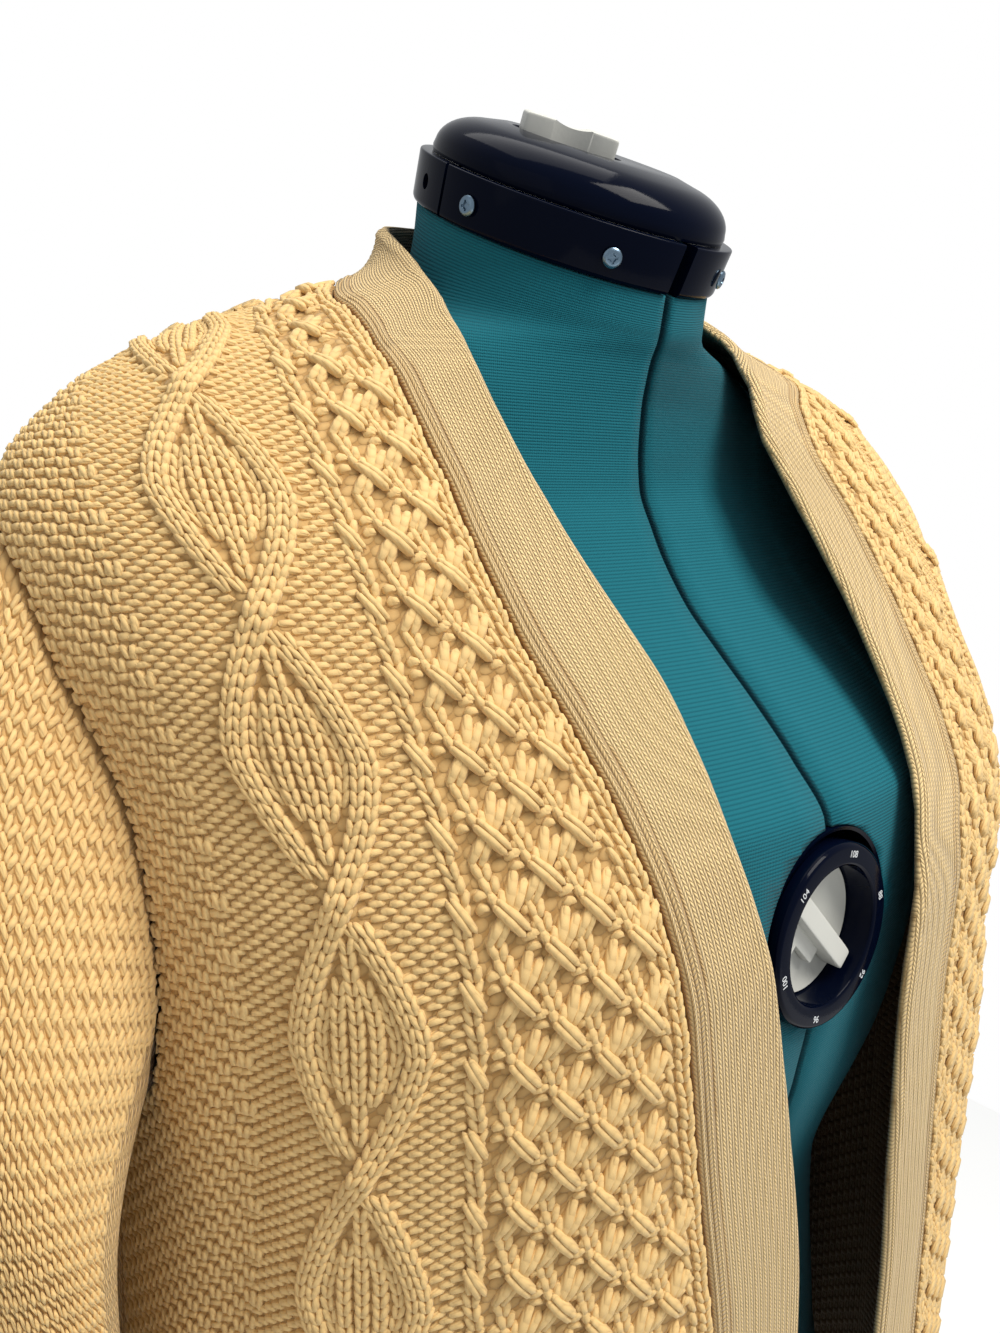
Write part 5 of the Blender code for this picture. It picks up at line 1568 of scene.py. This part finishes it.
def framed(x: Array, y: Array, z: Array, frame: Matrix) -> Array:
    """Points given in a frame's own millimetres, in the part's millimetres, one to a row."""
    points = np.stack([x, y, z, np.full(x.shape, 1 / MM)], -1).reshape(-1, 4) * MM
    return (points @ np.array(frame).T)[:, :3] / MM


def drum(radius: float, low: float, high: float) -> list[tuple[float, float]]:
    """Profile of a plain cylinder between two heights."""
    return [(0.0, low), (radius, low), (radius, high), (0.0, high)]


def shift(x: float, y: float, z: float) -> Matrix:
    """A move, given in millimetres."""
    return Matrix.Translation((x * MM, y * MM, z * MM))


def lathe(name: str, profile: Sequence[tuple[float, float]], frame: Matrix, steps: int = 96,
          squash: float = 1.0) -> Piece:
    """A turned piece: a profile of radius and height carried round its frame's axis.

    Args:
        name: name of the object.
        profile: points of radius and height, closed on the axis or on itself.
        frame: place of the axis, in metres.
        steps: points round.
        squash: depth over width of the rings.

    Returns:
        The object.
    """
    radius, height = np.array(profile, float).T
    angle = np.arange(steps) * 2 * pi / steps
    x = radius[:, None] * np.cos(angle)
    y = radius[:, None] * np.sin(angle) * squash
    z = np.broadcast_to(height[:, None], x.shape)
    faces = [grid(len(profile), steps, 0, True)]
    if radius[0] > 0 or radius[-1] > 0:
        last = (len(profile) - 1) * steps + np.arange(steps)
        first = np.arange(steps)
        faces.append(np.stack([last, np.roll(last, -1), np.roll(first, -1), first], 1))
    made = merged(framed(x, y, z, frame), faces, name, weld=0.00001)
    outward(made)
    creased(made)
    return made


def creased(made: Piece, degrees: float = SHARP) -> None:
    """Keeps edges sharp that turn by more than some degrees."""
    shape = bmesh.new()
    shape.from_mesh(made.data)
    for edge in shape.edges:
        edge.smooth = len(edge.link_faces) == 2 and edge.calc_face_angle(0.0) < radians(degrees)
    shape.to_mesh(made.data)
    shape.free()


def rounded(profile: Sequence[tuple[float, float]], radius: float, steps: int = 4) -> list[tuple[float, float]]:
    """Rounds a profile's inner corners: each gives way to a quadratic curve between points a radius away."""
    made = [profile[0]]
    for before, corner, after in zip(profile, profile[1:], profile[2:]):
        a, b, c = (np.array(point, float) for point in (before, corner, after))
        reach = min(radius, 0.45 * np.linalg.norm(a - b), 0.45 * np.linalg.norm(c - b))
        start, end = b + reach * unit(a - b), b + reach * unit(c - b)
        for t in np.linspace(0, 1, steps):
            made.append(tuple((1 - t) ** 2 * start + 2 * t * (1 - t) * b + t * t * end))
    return made + [profile[-1]]


def bar(name: str, size: tuple[float, float, float], frame: Matrix, steps: int = 64) -> Piece:
    """A bar with rounded edges: a superellipsoid-like block on a grid of two angles.

    Args:
        name: name of the object.
        size: length, width and height.
        frame: its place, in metres.
        steps: points round it.

    Returns:
        The object.
    """
    turn, rise = np.meshgrid(np.linspace(0, 2 * pi, steps + 1)[:-1],
                             np.linspace(-pi / 2, pi / 2, steps // 2 + 1))
    power = 0.16

    def squared(value: Array) -> Array:
        """A value pushed towards -1 and 1."""
        return np.sign(value) * np.abs(value) ** power

    half = np.array(size) / 2
    edge = squared(np.cos(rise))
    x, y = half[0] * edge * squared(np.cos(turn)), half[1] * edge * squared(np.sin(turn))
    z = half[2] * squared(np.sin(rise))
    made = merged(framed(x, y, z, frame), [grid(steps // 2 + 1, steps, 0, True)], name, weld=0.00001)
    outward(made)
    return made


def block(name: str, size: tuple[float, float, float], frame: Matrix) -> Piece:
    """A plain block, used to cut slots.

    Args:
        name: name of the object.
        size: its three sizes.
        frame: its place, in metres.

    Returns:
        The object.
    """
    corners = np.array([(x, y, z) for z in (-1, 1) for y in (-1, 1) for x in (-1, 1)]) * np.array(size) / 2
    faces = np.array([(0, 2, 3, 1), (4, 5, 7, 6), (0, 1, 5, 4), (2, 6, 7, 3), (0, 4, 6, 2), (1, 3, 7, 5)])
    made = merged(framed(*corners.T, frame), [faces], name, weld=0)
    outward(made)
    return made


@dataclass
class Neck:
    """Collar ring, cap, turning knob and the collar's screws, on an axis that leans to the front.

    Attributes:
        wide: half width of the collar.
        deep: half depth of the collar.
        cap: height of the cap.
        step: how far the cap stands in from the collar.
        knob: length, thickness and height of the knob.
        screws: places of the screws round the collar, in degrees.
        slits: place round the collar and width of each slit.
        hole: place round the collar of its empty screw hole.
        sunk: depth of the cap's well.
    """

    y: float = -15.0
    z: float = 1450.0
    tilt: float = radians(24.5)
    wide: float = 60.4
    deep: float = 63.2
    high: float = 18.0
    wall: float = 6.0
    cap: float = 16.4
    step: float = 3.6
    knob: tuple[float, float, float] = (36.0, 12.0, 10.0)
    knob_turn: float = radians(-30.0)
    knob_shift: float = -13.0
    screws: tuple = (168.0, 118.0, 62.0, 12.0, 242.0, 298.0)
    screw_radius: float = 3.4
    slits: tuple = ((90.0, 6.0), (182.0, 1.6))
    hole: float = 195.0
    sunk: float = 4.0

    def frame(self, rise: float = 0.0) -> Matrix:
        """Frame of the collar, raised along its axis."""
        place = shift(0, self.y, self.z)
        return place @ Matrix.Rotation(self.tilt, 4, "X") @ shift(0, 0, rise)

    def side_frame(self, degrees: float, rise: float) -> Matrix:
        """Frame on the collar's side whose x axis points outwards."""
        angle = radians(degrees)
        out = Vector((cos(angle) * self.wide, -sin(angle) * self.deep, 0)) * MM
        return self.frame(rise) @ Matrix.Translation(out) @ Matrix.Rotation(-angle, 4, "Z")

    def build(self, finishes: Finishes) -> None:
        """Builds the neck's hard pieces."""
        squash, seam = self.deep / self.wide, CUT.seam
        wide, inner = self.wide, self.wide - self.wall
        collar = rounded([(inner, 9.0), (inner, seam), (wide - 0.8, seam), (wide, 1.6), (wide + 1.0, self.high),
                          (inner, self.high), (inner, 9.0)], 0.8)
        ring = lathe("collar_ring", collar, self.frame(), 144, squash)
        for degrees, width in self.slits:
            cut_away(ring, block("slit", (30.0, width, 30.0), self.side_frame(degrees, self.high / 2)))
        hole = lathe("hole", drum(2.7, -9.0, 5.0),
                     self.side_frame(self.hole, self.high * 0.5) @ Matrix.Rotation(pi / 2, 4, "Y"), 24)
        cut_away(ring, hole)
        creased(ring)
        dress(ring, finishes.navy, ["neck_collar"])
        plug = drum(inner - 0.8, seam, self.high - 0.4)
        dress(lathe("neck_stump", plug, self.frame(), 96, squash), finishes.jersey)
        base = self.high + seam
        side = wide - self.step
        cap = [(0.0, base), (side, base), (side + 0.4, base + 2.0)]
        cap += [(side - 20.0 * (1 - cos(t)), base + 3.0 + (self.cap - 4.0) * sin(t))
                for t in np.radians(np.linspace(4, 78, 12))]
        cap += [(wide - 26.0, base + self.cap), (0.0, base + self.cap)]
        dome_cap = lathe("neck_cap_dome", cap, self.frame(), 144, squash)
        well = self.frame(base + self.cap) @ shift(self.knob_shift, 0, 0)
        sunk = [(0.0, -self.sunk), (19.0, -self.sunk), (21.5, 0.4), (21.5, 5.0), (0.0, 5.0)]
        cut_away(dome_cap, lathe("well", sunk, well, 72))
        creased(dome_cap)
        dress(dome_cap, finishes.navy, ["neck_cap"])
        stand = (self.frame(base + self.cap - self.sunk + seam + self.knob[2] / 2)
                 @ shift(self.knob_shift, 0, 0) @ Matrix.Rotation(self.knob_turn, 4, "Z"))
        knob = bar("neck_knob_bar", self.knob, stand)
        for across, y, z, turn in ((16.0, -20.0, 0.0, 0.0), (16.0, 20.0, 0.0, 0.0), (22.0, 0.0, 25.6, pi / 2)):
            grip = stand @ shift(0, y, z) @ Matrix.Rotation(turn, 4, "X")
            cut_away(knob, lathe("grip", drum(across, -9.0, 9.0), grip, 72))
        creased(knob)
        dress(knob, finishes.pale, ["neck_knob"])
        for number, degrees in enumerate(self.screws, 1):
            angle = radians(degrees)
            out = Vector((cos(angle), -squash * sin(angle), 0))
            place = self.frame(self.high * 0.45) @ Matrix.Translation(out * (wide + 0.9 + seam) * MM)
            face = place @ Vector((cos(angle), -sin(angle), 0)).to_track_quat("Z", "Y").to_matrix().to_4x4()
            r = self.screw_radius
            head = [(0.0, 0.0), (r, 0.0), (r, 0.5), (r - 0.5, 1.05), (r - 1.3, 1.3), (1.25, 1.25), (0.9, 0.55),
                    (0.0, 0.5)]
            turned = lathe(f"collar_screw_head_{number}", head, face, 28)
            for quarter in (0.3, 0.3 + pi / 2):
                cut_away(turned, bar("cross", (3.6, 0.8, 1.6), face @ shift(0, 0, 1.3)
                                     @ Matrix.Rotation(quarter, 4, "Z")))
            creased(turned)
            dress(turned, finishes.steel, [f"collar_screw_{number}"])


@dataclass
class Dial:
    """Chest dial: ring with plain numbers, dish and twist bar."""

    y: float = -157.0
    z: float = 1211.0
    radius: float = 32.5
    hole: float = 24.6
    ring: float = 5.0
    back: float = 12.0
    bar: tuple[float, float, float] = (44.0, 7.6, 8.0)
    turn: float = radians(45.0)
    numbers: tuple = (88, 92, 96, 100, 104, 108)

    def frame(self) -> Matrix:
        """Frame of the dial: its axis runs into the form, from the dial's face."""
        return shift(0, self.y, self.z) @ Matrix.Rotation(-pi / 2, 4, "X")

    def well(self) -> Matrix:
        """Frame of the pocket, which opens a little more to one side of the dial."""
        return shift(2.2, 0, 1.6) @ self.frame()

    def lathe(self, name: str, profile: Sequence[tuple[float, float]], steps: int = 128) -> Piece:
        """A turned piece on the dial's axis."""
        return lathe(name, profile, self.frame(), steps)

    def build(self, finishes: Finishes) -> None:
        """Builds the dial."""
        hole, ring, seam = self.hole, self.radius, CUT.seam
        line = rounded([(hole, 9.0), (hole, 0.5), (hole + 1.0, 0.0), (ring - 1.2, 0.0), (ring, 1.2),
                        (ring, self.ring), (ring - 0.6, self.ring + 0.5), (ring - 0.6, self.back + 6.0),
                        (hole, self.back + 6.0), (hole, 9.0)], 0.6)
        dress(self.lathe("dial_ring_face", line), finishes.navy, ["dial_ring"])
        # The pocket's navy lining: partly the dial's own navy tube, partly a dark sheet standing for the shade in
        # the hollow.
        lining = [(33.6, 5.0), (34.9, 4.6), (34.9, 23.4), (0.0, 23.4), (0.0, 22.6), (33.6, 22.6), (33.6, 5.0)]
        dress(lathe("dial_well_lining", lining, self.well(), 96), finishes.navy)
        dish = [(0.0, self.back), (hole - 6.0, self.back), (hole - seam - 0.5, self.back - 1.4),
                (hole - seam, self.back - 1.0), (hole - seam, self.back + 5.0), (0.0, self.back + 5.0)]
        dress(self.lathe("dial_dish_face", dish), finishes.pale, ["dial_dish"])
        deep = self.back - seam - self.bar[2] / 2
        stand = self.frame() @ shift(0, 0, deep) @ Matrix.Rotation(self.turn, 4, "Z")
        low = stand @ shift(-1.0, 6.2, 2.2)
        parts = [bar("twist", self.bar, stand), bar("step", (21.0, 6.5, 3.4), low, 40),
                 bar("rib", (5.0, 12.0, 3.6), low @ shift(-6.0, 2.0, 0), 40)]
        dress(joined("dial_twist_bar", parts), finishes.pale, ["dial_knob"])
        self.print(finishes)

    def print(self, finishes: Finishes) -> None:
        """Prints plain numbers round the ring's face."""
        parts = []
        middle = (self.hole + self.radius) / 2
        for number, value in enumerate(self.numbers):
            angle = radians(75 + number * 60)
            text = bpy.data.curves.new(f"number {value}", "FONT")
            text.body, text.size, text.align_x, text.align_y = str(value), 3.4 * MM, "CENTER", "CENTER"
            text.extrude = 0.05 * MM
            drawn = placed(f"number {value}", text)
            bpy.context.view_layer.update()
            mesh = bpy.data.meshes.new_from_object(drawn.evaluated_get(bpy.context.evaluated_depsgraph_get()))
            bpy.data.objects.remove(drawn, do_unlink=True)
            place = (shift(0, self.y - 0.08, self.z) @ Matrix.Rotation(pi / 2, 4, "X")
                     @ Matrix.Rotation(-angle, 4, "Z") @ shift(0, middle, 0))
            mesh.transform(place)
            parts.append(placed(f"number {value}", mesh))
        whole = joined("dial_numbers", parts)
        dress(whole, finishes.ink)


def joined(name: str, parts: Sequence[Piece]) -> Piece:
    """Joins objects at the origin into one."""
    shape = bmesh.new()
    for part in parts:
        shape.from_mesh(part.data)
        bpy.data.objects.remove(part, do_unlink=True)
    mesh = bpy.data.meshes.new(name)
    shape.to_mesh(mesh)
    shape.free()
    return placed(name, mesh)


@dataclass
class Stand:
    """Pole and round base."""

    radius: float = 14.0
    foot: float = 22.0
    base: float = 205.0
    high: float = 22.0
    under: float = 800.0

    def build(self, finishes: Finishes) -> None:
        """Builds both turned pieces."""
        seam, level = CUT.seam, Matrix.Identity(4)
        low, high = self.high + seam, self.under - seam
        pole = [(0.0, low)] + rounded([(1.0, low), (self.foot, low), (self.foot, self.high + 18),
                                       (self.radius, self.high + 26), (self.radius, self.under - 14),
                                       (self.foot + 8, self.under - 8), (self.foot + 8, high), (1.0, high)], 2.0)
        pole += [(0.0, high)]
        dress(lathe("stand_tube", pole, level, 72), finishes.paint, ["stand_pole"])
        plate = [(0.0, 0.0)] + rounded([(1.0, 0.0), (self.base - 2, 0.0), (self.base, 2.0), (self.base, 10.0),
                                        (self.base - 4, 14.0), (60.0, self.high), (1.0, self.high)], 3.0)
        plate += [(0.0, self.high)]
        dress(lathe("stand_plate", plate, level, 128), finishes.paint, ["stand_base"])


# ---- The studio ----

@dataclass
class Studio:
    """Pale floor, soft light and the camera.

    Attributes:
        place: the camera's place, in millimetres.
        azimuth: where it stands round the part, in degrees.
        elevation: how far it looks down.
        roll: how far it is turned about its axis.
    """

    place: tuple[float, float, float] = (-287.6, -321.8, 1365.2)
    azimuth: float = -40.1
    elevation: float = 11.5
    roll: float = 0.9

    def axes(self) -> Matrix:
        """Right, up and back directions of the camera, as a matrix."""
        a, e, roll = radians(self.azimuth), radians(self.elevation), radians(self.roll)
        back = Vector((sin(a) * cos(e), -cos(a) * cos(e), sin(e)))
        right = Vector((cos(a), sin(a), 0))
        up = back.cross(right)
        turned = Matrix((cos(roll) * right + sin(roll) * up, -sin(roll) * right + cos(roll) * up, back))
        return turned.transposed()

    def lamp(self, name: str, place: Vector, target: Vector, size: float, power: float, colour: tuple) -> None:
        """Adds a soft square light."""
        data = bpy.data.lights.new(name, "AREA")
        data.size, data.energy, data.color = size, power, colour
        made = placed(name, data)
        aim = (place - target).to_track_quat("Z", "Y").to_matrix().to_4x4()
        made.matrix_world = Matrix.Translation(place) @ aim

    def build(self) -> None:
        """Sets the floor, world, lights and camera."""
        scene = bpy.context.scene
        axes = self.axes()
        data = bpy.data.cameras.new("camera")
        data.sensor_fit, data.sensor_width, data.lens = "HORIZONTAL", 36.0, 36.0
        data.clip_start, data.clip_end = 0.01, 50.0
        camera = placed("camera", data)
        camera.matrix_world = Matrix.Translation(Vector(self.place) * MM) @ axes.to_4x4()
        scene.camera = camera
        scene.view_settings.view_transform = "Standard"
        side = 1.8
        floor = merged(np.array([(-side, -side, 0), (side, -side, 0), (side, side, 0), (-side, side, 0)]) / MM,
                       [np.array([[0, 1, 2, 3]])], "floor", None, None, 0)
        nodes = Nodes("pale floor")
        cloud = nodes.noise(2.0)
        nodes.link(nodes.mix(cloud, (0.80, 0.80, 0.79), (0.84, 0.84, 0.83)), nodes.shader.inputs["Base Color"])
        nodes.put({"Roughness": 0.8, "Emission Color": (1.0, 1.0, 1.0, 1.0), "Emission Strength": 0.30})
        floor.data.materials.append(nodes.material)
        world = bpy.data.worlds.new("studio")
        scene.world = world
        world.use_nodes = True
        tree = world.node_tree
        light, seen = tree.nodes["Background"], tree.nodes.new("ShaderNodeBackground")
        for node, colour, strength in ((light, (0.96, 0.98, 1.0, 1.0), 0.50), (seen, (1.0, 1.0, 1.0, 1.0), 1.0)):
            node.inputs["Color"].default_value = colour
            node.inputs["Strength"].default_value = strength
        path, mixed = tree.nodes.new("ShaderNodeLightPath"), tree.nodes.new("ShaderNodeMixShader")
        tree.links.new(path.outputs["Is Camera Ray"], mixed.inputs[0])
        tree.links.new(light.outputs[0], mixed.inputs[1])
        tree.links.new(seen.outputs[0], mixed.inputs[2])
        tree.links.new(mixed.outputs[0], tree.nodes["World Output"].inputs[0])
        right, up, back = (axes.col[k].copy() for k in range(3))
        target = Vector((-0.03, -0.1, 1.28))
        self.lamp("key", target + 1.2 * right + 1.5 * up + 0.9 * back, target, 1.1, 50.0, (1.0, 0.97, 0.92))
        self.lamp("fill", target - 1.4 * right + 0.5 * up + 1.6 * back, target, 1.6, 1.5, (1.0, 0.98, 0.96))
        self.lamp("top", target + Vector((0.2, 0.3, 1.9)), target, 1.4, 13.0, (1.0, 0.99, 0.97))


def main() -> None:
    """Builds the part's looks, piece by piece, and the studio."""
    logging.basicConfig(level=logging.INFO, format="%(message)s")
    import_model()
    finishes = Finishes()
    dial = Dial()
    FormTorso().build(finishes, dial)
    Neck().build(finishes)
    dial.build(finishes)
    Stand().build(finishes)
    Panel("front_right", 1, False, (2.3, 2.7), -185.0, (0.34, 0.72), 0.168, (3, 6), (2, 6)).build(finishes)
    Panel("front_left", -1, False, (2.6, 3.1), -60.0, (0.34, 0.72), 0.155, (2, 5), (2, 5)).build(finishes)
    Panel("back", 1, True, (3.9, 4.6), 500.0, (0.56, 0.72), 0.33, (2, 4)).build(finishes)
    sleeves = [Sleeve("sleeve_right", 1, (3.1, 3.6), -325.0), Sleeve("sleeve_left", -1, (3.3, 4.0), -325.0)]
    for sleeve in sleeves:
        sleeve.build(finishes)
        Cuff(sleeve.name.replace("sleeve", "cuff"), sleeve).build(finishes)
    HemRib("hem_right", 1, "front_right_cloth", 0.23).build(finishes)
    HemRib("hem_back", 0, "back_cloth", 0.50).build(finishes)
    HemRib("hem_left", -1, "front_left_cloth", 0.20).build(finishes)
    Band().build(finishes)
    Studio().build()


if __name__ == "__main__":
    main()
